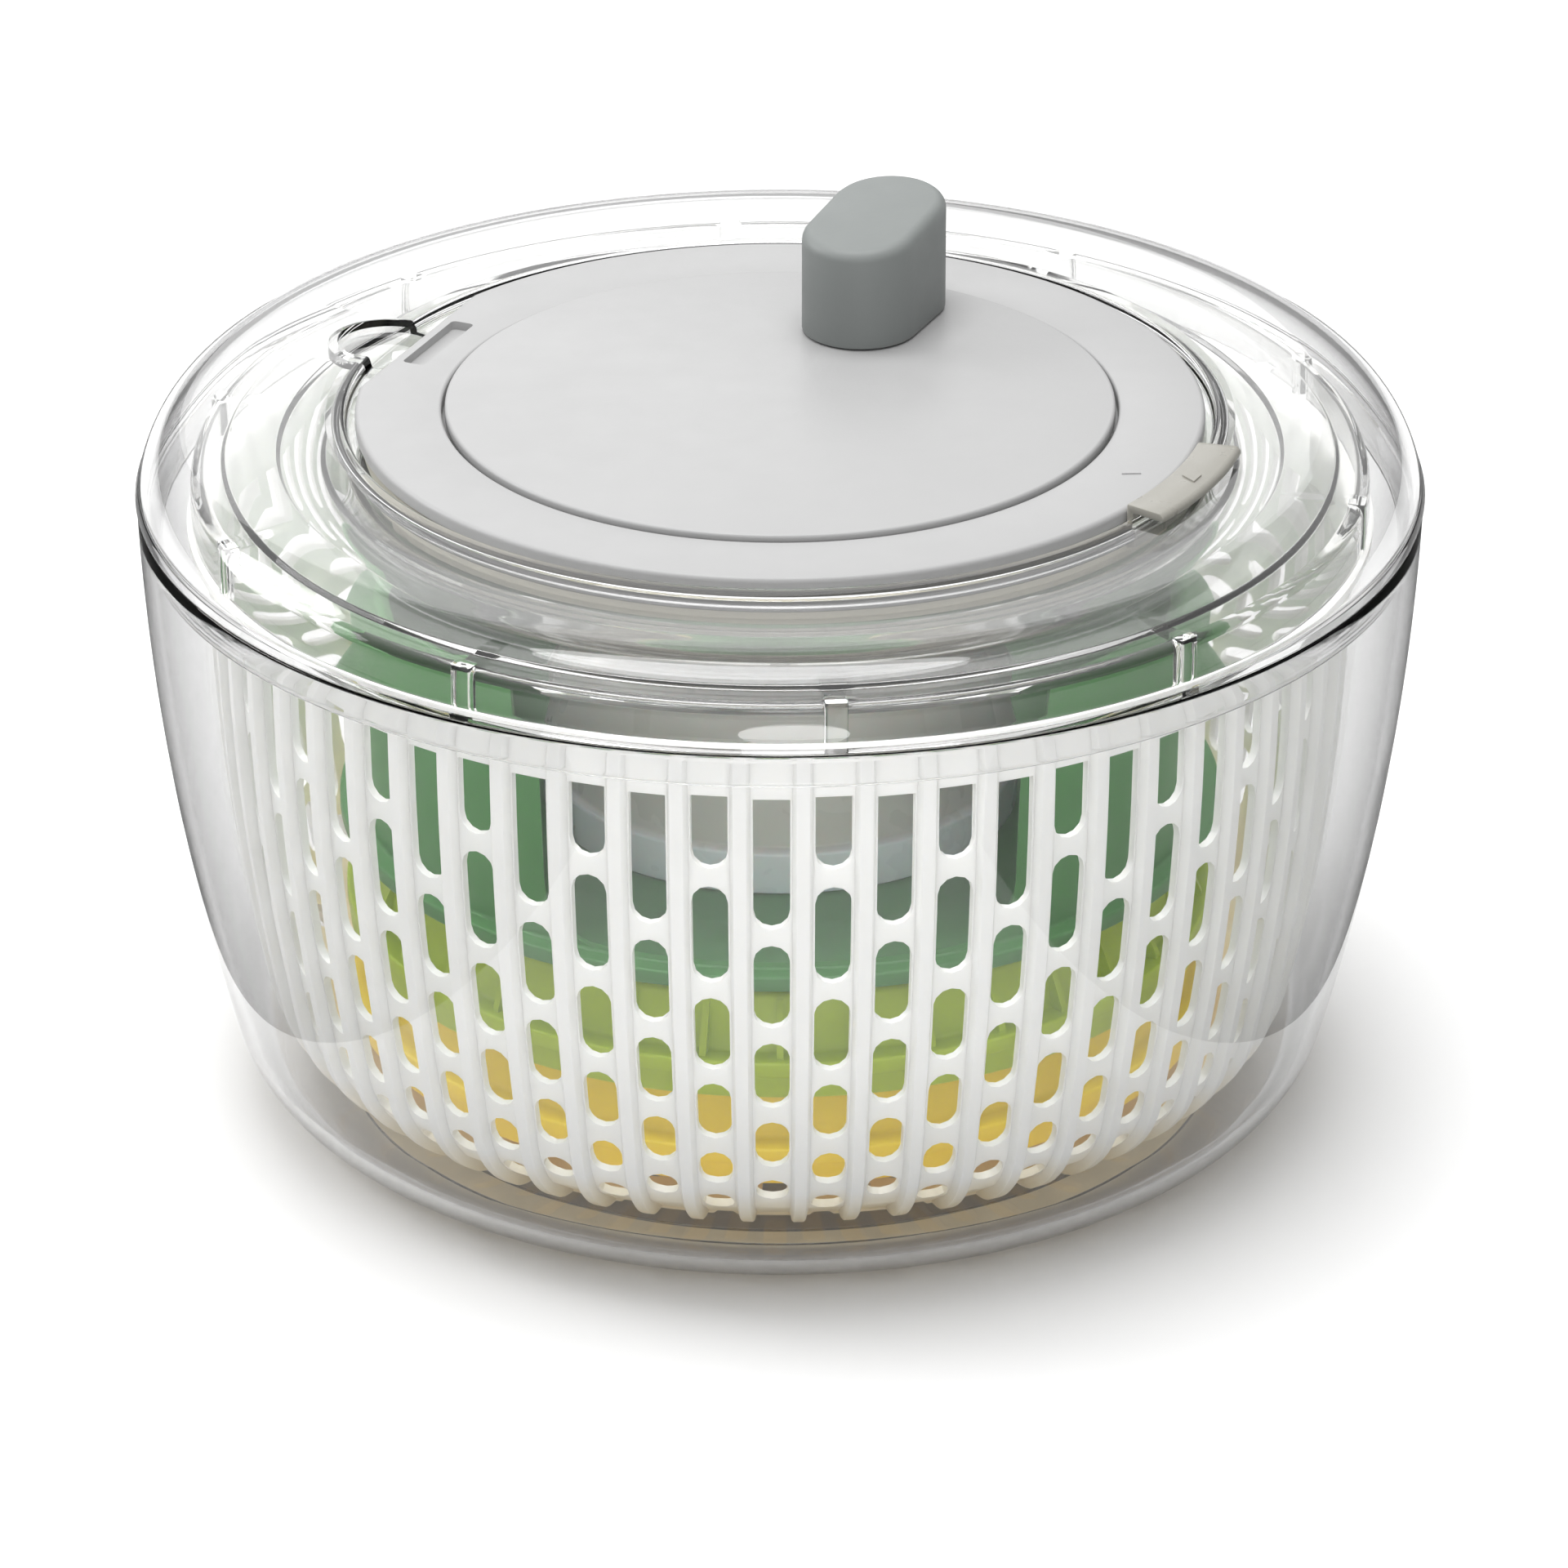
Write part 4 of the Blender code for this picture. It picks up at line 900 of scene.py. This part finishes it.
COVER_WALL = 1.8
DISH_R = 84.0
DISH_Z = 130.6
SCREW_BORE = 2.3
LUGS = 10
LUG_WIDTH = 4.5
LUG_DEPTH = 3.4
LUG_GAP = 0.6
LUG_COLUMN = 1
cover_high = size_of("inner_cover")[1]
cover_r = cover_high.y
cover_top = cover_high.z
cover_foot = basket_high.z + 0.3
lug_foot = BASKET_TOP + 0.2
cover = turned("clear_cover", [
    (SCREW_BORE, DISH_Z), (DISH_R - 1.0, DISH_Z, 1.5), (DISH_R + 1.0, cover_top, 1.2),
    (DISH_R + 8.0, cover_top, 0.5), (DISH_R + 8.8, cover_top - 1.0, 0.5), (102.0, cover_top - 1.0, 0.5),
    (102.8, cover_top, 0.5), (cover_r - 7.0, cover_top, 0.5), (cover_r - 6.2, cover_top - 0.9, 0.5),
    (cover_r, cover_top - 0.9, 2.0), (cover_r, cover_foot, 0.5), (cover_r - COVER_WALL, cover_foot, 0.5),
    (cover_r - COVER_WALL, cover_top - 2.7, 1.2), (102.0, cover_top - 2.7),
    (DISH_R + 1.0 + COVER_WALL, cover_top - 2.7, 0.8),
    (DISH_R - 1.0 + COVER_WALL, DISH_Z - COVER_WALL, 1.2), (SCREW_BORE, DISH_Z - COVER_WALL)], 192)
# The cover's edges are painted a little grey where they are seen edge on: painted shade.
clear_cover = clear_plastic("clear_cover", (0.985, 0.985, 0.98), (0.8, 0.8, 0.78), 0.1)
lug_angle = COLUMN_PHASE + LUG_COLUMN * COLUMN_PITCH
lug_inner = BASKET_RIM_R + LUG_GAP
lug = prism("lugs", rectangle(LUG_DEPTH, LUG_WIDTH, (lug_inner + LUG_DEPTH / 2, 0.0), corner=0.6),
            lug_foot, cover_top - 0.8)
combined(cover, ring_of(lug, LUGS, lug_angle, clear_cover), "UNION")
finish_piece(cover, clear_cover, "cover", "clear", "inner_cover")

# ---------------------------------------------------------------------------------------------
# Drive: a sun gear on the output shaft, three planets on steel pins in the gear case, and a ring
# gear round them that turns with the crank. The gears and the bush are white acetal.

gear_white = acetal("gear_white", (0.8, 0.8, 0.77))
repaint(gear_white, "sun_gear", "planet_gear_1", "planet_gear_2", "planet_gear_3", "ring_gear",
        "crank_bush")
repaint(brushed_steel("turned_steel", (1.0, 1.0, 0.05)), "planet_axle_1", "planet_axle_2",
        "planet_axle_3", "output_shaft", "cover_screw", "knob_spindle")

# ---------------------------------------------------------------------------------------------
# Gear case: a cream cup that hangs from the lid. Fifty-four flutes run down its outside, and they
# leave its bottom edge scalloped.

FLUTES = 54
FLUTE_STEPS = 8
FLUTE_DEPTH = 1.3
CASE_WALL = 4.0
CASE_FLOOR = 2.2
SHAFT_BORE = 6.3
case_low, case_high = size_of("gear_case")
case_r = 79.0
case_inner_r = case_r - CASE_WALL
case_foot = case_low.z
case_top = case_high.z
case_wall_top = 140.7
case_flange_r = case_high.x
hole_r = 80.6
case_loops = []
case_line = rounded([
    (SHAFT_BORE, case_foot + CASE_FLOOR), (case_inner_r, case_foot + CASE_FLOOR),
    (case_inner_r, case_wall_top, 0.5), (hole_r - 0.4, case_wall_top), (hole_r - 0.4, case_top, 0.3),
    (case_flange_r + 2.0, case_top, 0.5), (case_flange_r + 2.0, case_top - 3.0, 0.6),
    (case_r + 1.0, case_top - 4.6, 1.0), (case_r + 1.0, case_foot, 0.8), (SHAFT_BORE, case_foot)], True)
for step in range(FLUTE_STEPS, -1, -1):
    angle = (step / FLUTE_STEPS - 0.5) * 2 * math.pi / FLUTES
    hollow = FLUTE_DEPTH * math.cos(math.pi * (step / FLUTE_STEPS - 0.5)) ** 2
    loop = []
    for r, z in case_line:
        share = min(1.0, max(0.0, (case_top - 4.0 - z) / 2.0)) if r > case_inner_r + 0.5 else 0.0
        loop.append((*plan(r - hollow * share, angle), z))
    case_loops.append(loop)
cream = opaque_plastic("cream_case", (0.54, 0.51, 0.42), 0.42, 0.2)
case = ring_of(lofted("fluted_case", case_loops, "open"), FLUTES, 0.0, cream, WELD)
for axle in ("planet_axle_1", "planet_axle_2", "planet_axle_3"):
    axle_low, axle_high = size_of(axle)
    middle = (axle_low + axle_high) / 2
    combined(case, prism("axle_socket", circle(axle_high.x - middle.x + 0.3, (middle.x, middle.y), 32),
                         axle_low.z - 0.3, case_foot + CASE_FLOOR + 2.0))
finish_piece(case, cream, "lid", "cream", "gear_case")

# ---------------------------------------------------------------------------------------------
# Lid: one clear moulding. A flat top falls over a tight shoulder to the edge, a recess round the
# hole holds the lock ring, and a round scoop beside it gives a fingertip room behind the ring.

LID_WALL = 2.4
LID_FLAT_R = 113.0
SHOULDER_Z = 127.0
SHOULDER_POWERS = (3.1, 1.9)
LID_EDGE = 133.5
LEDGE_DROP = 2.5
COLLAR_R_LID = 88.6
SKIRT_GAP = 0.6
SKIRT_WALL = 2.0
SCOOP_R = 10.5
SCOOP_ANGLE = math.radians(156)
SCOOP_DISTANCE = COLLAR_R_LID + 1.0
TAB_ANGLE = math.radians(-26.5)
TAB_SPAN = math.radians(23)
lid_low, lid_high = size_of("lid")
lid_r = lid_high.x
lid_top = lid_high.z
ledge = lid_top - LEDGE_DROP
under_ledge = ledge - LID_WALL
lid_foot = BOWL_TOP + 0.3


def shoulder(inset, points=28):
    """(radius, height) points of the lid's shoulder, a superellipse from its flat top to its edge."""
    power_r, power_z = SHOULDER_POWERS
    reach = lid_r - inset - LID_FLAT_R
    rise = lid_top - inset - SHOULDER_Z
    start = math.asin(((LID_EDGE - SHOULDER_Z) / rise) ** (power_z / 2))
    line = []
    for i in range(points + 1):
        angle = math.pi / 2 + (start - math.pi / 2) * (i / points) ** 1.3
        line.append((LID_FLAT_R + reach * max(math.cos(angle), 0.0) ** (2 / power_r),
                     SHOULDER_Z + rise * math.sin(angle) ** (2 / power_z)))
    return line


def tab_slice(name, span, inner, outer, foot, top, steps=24):
    """A slice of a ring, centred on the lock tab's direction."""
    arc = [TAB_ANGLE + span * (i / steps - 0.5) for i in range(steps + 1)]
    outline = [plan(outer, angle) for angle in arc] + [plan(inner, angle) for angle in reversed(arc)]
    return prism(name, outline, foot, top)


skirt_r = BOWL_RIM_R - BOWL_WALL - SKIRT_GAP
skirt_foot = lid_low.z
lid_points = [(hole_r, ledge, 0.4), (COLLAR_R_LID, ledge, 0.5), (COLLAR_R_LID + 0.8, lid_top, 0.9)]
lid_points += [(COLLAR_R_LID + 4.5, lid_top - 0.4, 1.5)]
lid_points += shoulder(0.0)
lid_points += [(lid_r, lid_foot, 0.4), (skirt_r, lid_foot, 0.3), (skirt_r, skirt_foot, 0.7),
               (skirt_r - SKIRT_WALL, skirt_foot, 0.7)]
lid_points += [point for point in shoulder(LID_WALL)[::-1] if point[1] > lid_foot + 1.0]
lid_points += [(COLLAR_R_LID + LID_WALL, lid_top - LID_WALL, 0.8),
               (COLLAR_R_LID + LID_WALL, under_ledge, 1.2), (hole_r, under_ledge, 0.4)]
lid = turned("clear_lid", lid_points, 192)
scoop_centre = plan(SCOOP_DISTANCE, SCOOP_ANGLE)
scoop_floor = ledge - 0.7
shell = prism("scoop_shell", circle(SCOOP_R + 2.0, scoop_centre), under_ledge + 0.2, lid_top - 0.5)
combined(shell, prism("ring_room", circle(COLLAR_R_LID + 0.9, steps=192), ledge - 0.5, lid_top))
combined(lid, shell, "UNION")
combined(lid, prism("scoop_pocket", circle(SCOOP_R, scoop_centre), scoop_floor, lid_top + 5.0))
combined(lid, prism("lid_hole", circle(hole_r, steps=192), case_foot, lid_top + 6.0))
combined(lid, tab_slice("tab_window", TAB_SPAN + math.radians(2), hole_r - 2.0, COLLAR_R_LID + 1.4,
                        case_foot, lid_top + 3.0))
# The lid's edges are painted dark grey where they are seen edge on: painted shade.
clear_lid = clear_plastic("clear_lid", (0.985, 0.985, 0.985), (0.3, 0.3, 0.3), 0.2)
finish_piece(lid, clear_lid, "lid", "clear", "lid")

# ---------------------------------------------------------------------------------------------
# Lock tab: a stepped cream tongue that comes up through the lid's window and lies over its edge,
# with a raised arrow that meets the one on the lock ring.

TAB_SHEET = 1.8
ARROW = 3.4
ARROW_PROUD = 0.35
tab_low, tab_high = size_of("lock_tab")
RING_R = COLLAR_R_LID - 1.6
stem_inner = RING_R + 0.5
stem_outer = stem_inner + TAB_SHEET - 0.3
tab_r = RING_R + 9.5
tab_top = tab_high.z
tab_foot_top = tab_low.z + TAB_SHEET
tab_line = [
    (stem_inner, tab_top), (tab_r - 0.9, tab_top), (tab_r, tab_top - 0.8),
    (tab_r, tab_top - TAB_SHEET), (stem_outer, tab_top - TAB_SHEET), (stem_outer, tab_low.z),
    (case_flange_r + 2.6, tab_low.z), (case_flange_r + 2.6, tab_foot_top), (stem_inner, tab_foot_top)]
tab_arc = [TAB_ANGLE + TAB_SPAN * (i / 24 - 0.5) for i in range(25)]
tab = lofted("tab_tongue", [[(*plan(r, angle), z) for r, z in tab_line] for angle in tab_arc])
round_edge = tab.modifiers.new("round edge", "BEVEL")
round_edge.width = 0.4 * MM
round_edge.segments = 2
round_edge.limit_method = "ANGLE"
round_edge.angle_limit = math.radians(40)
baked(tab)


def arrow(name, distance, angle, points_in, foot, top):
    """A three-cornered raised mark that points along the radius."""
    way = -1 if points_in else 1
    corners = [(distance + way * ARROW * 0.6, 0.0), (distance - way * ARROW * 0.4, ARROW * 0.55),
               (distance - way * ARROW * 0.4, -ARROW * 0.55)]
    turn = Matrix.Rotation(angle, 2)
    return prism(name, [tuple(turn @ Vector(corner)) for corner in corners], foot, top)


combined(tab, arrow("tab_arrow", stem_inner + 4.6, TAB_ANGLE, True, tab_top - 0.5, tab_top + ARROW_PROUD),
         "UNION")
cream_tab = opaque_plastic("cream_tab", (0.34, 0.33, 0.295), 0.3, 0.3)
finish_piece(tab, cream_tab, "lid", "cream", "lock_tab")

# ---------------------------------------------------------------------------------------------
# Lock ring: a pale grey plate in the lid's recess, on a neck that goes down into the gear case. It
# is cut off straight beside the scoop, with a slot along the cut for a fingernail.

NECK_GAP = 0.8
RING_CHORD = RING_R - 4.2
RING_STEPS = 240
GRIP_SLOT = (24.0, 5.0)
GRIP_SLOT_DEPTH = 1.8
GRIP_SLOT_DISTANCE = RING_R - 9.2
ring_low, ring_high = size_of("lock_ring")
crank_low, crank_high = size_of("crank_disc")
crank_r = crank_high.x
ring_top = ring_high.z
plate_foot = ring_top - 3.0
neck_r = hole_r - NECK_GAP
neck_inner = hole_r - 7.6
ring_hole = crank_r + 0.7
ring_ledge_r = crank_r - 6.6
ring_ledge_top = 145.8
ring_line = rounded([
    (ring_ledge_r, ring_ledge_top, 0.3), (ring_hole, ring_ledge_top), (ring_hole, ring_top, 0.7),
    (RING_R, ring_top, 1.1), (RING_R, plate_foot, 0.3), (neck_r, plate_foot),
    (neck_r, ring_low.z, 0.4), (neck_inner, ring_low.z, 0.4), (neck_inner, ring_ledge_top - 2.0),
    (ring_ledge_r, ring_ledge_top - 2.0, 0.3)], True)
ring_loops = []
for step in range(RING_STEPS):
    angle = 2 * math.pi * step / RING_STEPS
    facing = max(math.cos(angle - SCOOP_ANGLE), 0.001)
    loop = []
    for r, z in ring_line:
        if r > neck_r + 0.1:
            r = min(r, (RING_CHORD - RING_R + r) / facing)
        loop.append((*plan(r, angle), z))
    ring_loops.append(loop)
lock_ring = lofted("ring_plate", ring_loops, "joined")
slot_centre = plan(GRIP_SLOT_DISTANCE, SCOOP_ANGLE)
combined(lock_ring, prism("grip_slot", rectangle(GRIP_SLOT[1], GRIP_SLOT[0], slot_centre, SCOOP_ANGLE, 1.0),
                          ring_top - GRIP_SLOT_DEPTH, ring_top + 4.0))
combined(lock_ring, arrow("ring_arrow", RING_R - 8.0, TAB_ANGLE, False, ring_top - 0.5, ring_top + 0.25),
         "UNION")
pale_grey = opaque_plastic("pale_grey_ring", (0.43, 0.43, 0.43), 0.45, 0.05, 0.03)
finish_piece(lock_ring, pale_grey, "lock_ring", "pale_grey", "lock_ring")

# ---------------------------------------------------------------------------------------------
# Crank disc and knob: the disc turns in the ring's hole. The knob is a slanted, satin grey block
# with round ends, and turns by itself on a flanged steel spindle that comes up through the disc.

KNOB_R = 12.2
KNOB_HALF = 7.0
KNOB_HEIGHT = 23.2
KNOB_SLOPE = math.radians(5.5)
KNOB_EDGE = 2.4
KNOB_ANGLE = math.radians(65.6)
knob_distance = crank_r - 21.2
knob_centre = plan(knob_distance, KNOB_ANGLE)
spindle_high = size_of("knob_spindle")[1]
spindle_bore = 4.3
crank = turned("crank_plate", [(0, crank_high.z), (crank_r, crank_high.z, 0.7), (crank_r, crank_low.z, 0.2),
                               (0, crank_low.z)], 192)
combined(crank, prism("spindle_hole", circle(spindle_bore, knob_centre, 32), crank_low.z - 2,
                      crank_high.z + 2))
crank_grey = opaque_plastic("pale_grey_crank", (0.43, 0.43, 0.43), 0.42, 0.05, 0.03)
finish_piece(crank, crank_grey, "crank", "pale_grey", "crank_disc")


def stadium(radius, half, steps=20):
    """An outline whose long axis is X."""
    points = []
    for end, start in ((half, -math.pi / 2), (-half, math.pi / 2)):
        for i in range(steps + 1):
            angle = start + math.pi * i / steps
            points.append((end + radius * math.cos(angle), radius * math.sin(angle)))
    return points


knob_foot = crank_high.z + 0.3
knob_levels = [(0.5, 0.0), (0.15, 0.15), (0.0, 0.5)]
knob_levels += [(KNOB_EDGE * (1 - math.cos(math.radians(turn))),
                 KNOB_HEIGHT - KNOB_EDGE + KNOB_EDGE * math.sin(math.radians(turn)))
                for turn in range(0, 91, 15)]
knob_turn = Matrix.Rotation(KNOB_ANGLE, 2)
knob_loops = []
for inset, level in knob_levels:
    loop = []
    for x, y in stadium(KNOB_R - inset, KNOB_HALF):
        rise = x * math.tan(KNOB_SLOPE) * level / KNOB_HEIGHT
        loop.append((*(knob_turn @ Vector((x, y)) + Vector(knob_centre)), knob_foot + level + rise))
    knob_loops.append(loop)
knob = lofted("crank_knob", knob_loops)
combined(knob, prism("knob_bore", circle(spindle_bore, knob_centre, 32), knob_foot - 4,
                     spindle_high.z + 0.3))
knob_grey = opaque_plastic("knob_grey", (0.225, 0.24, 0.235), 0.5, 0.02, 0.04)
finish_piece(knob, knob_grey, "knob", "knob_grey", "knob")
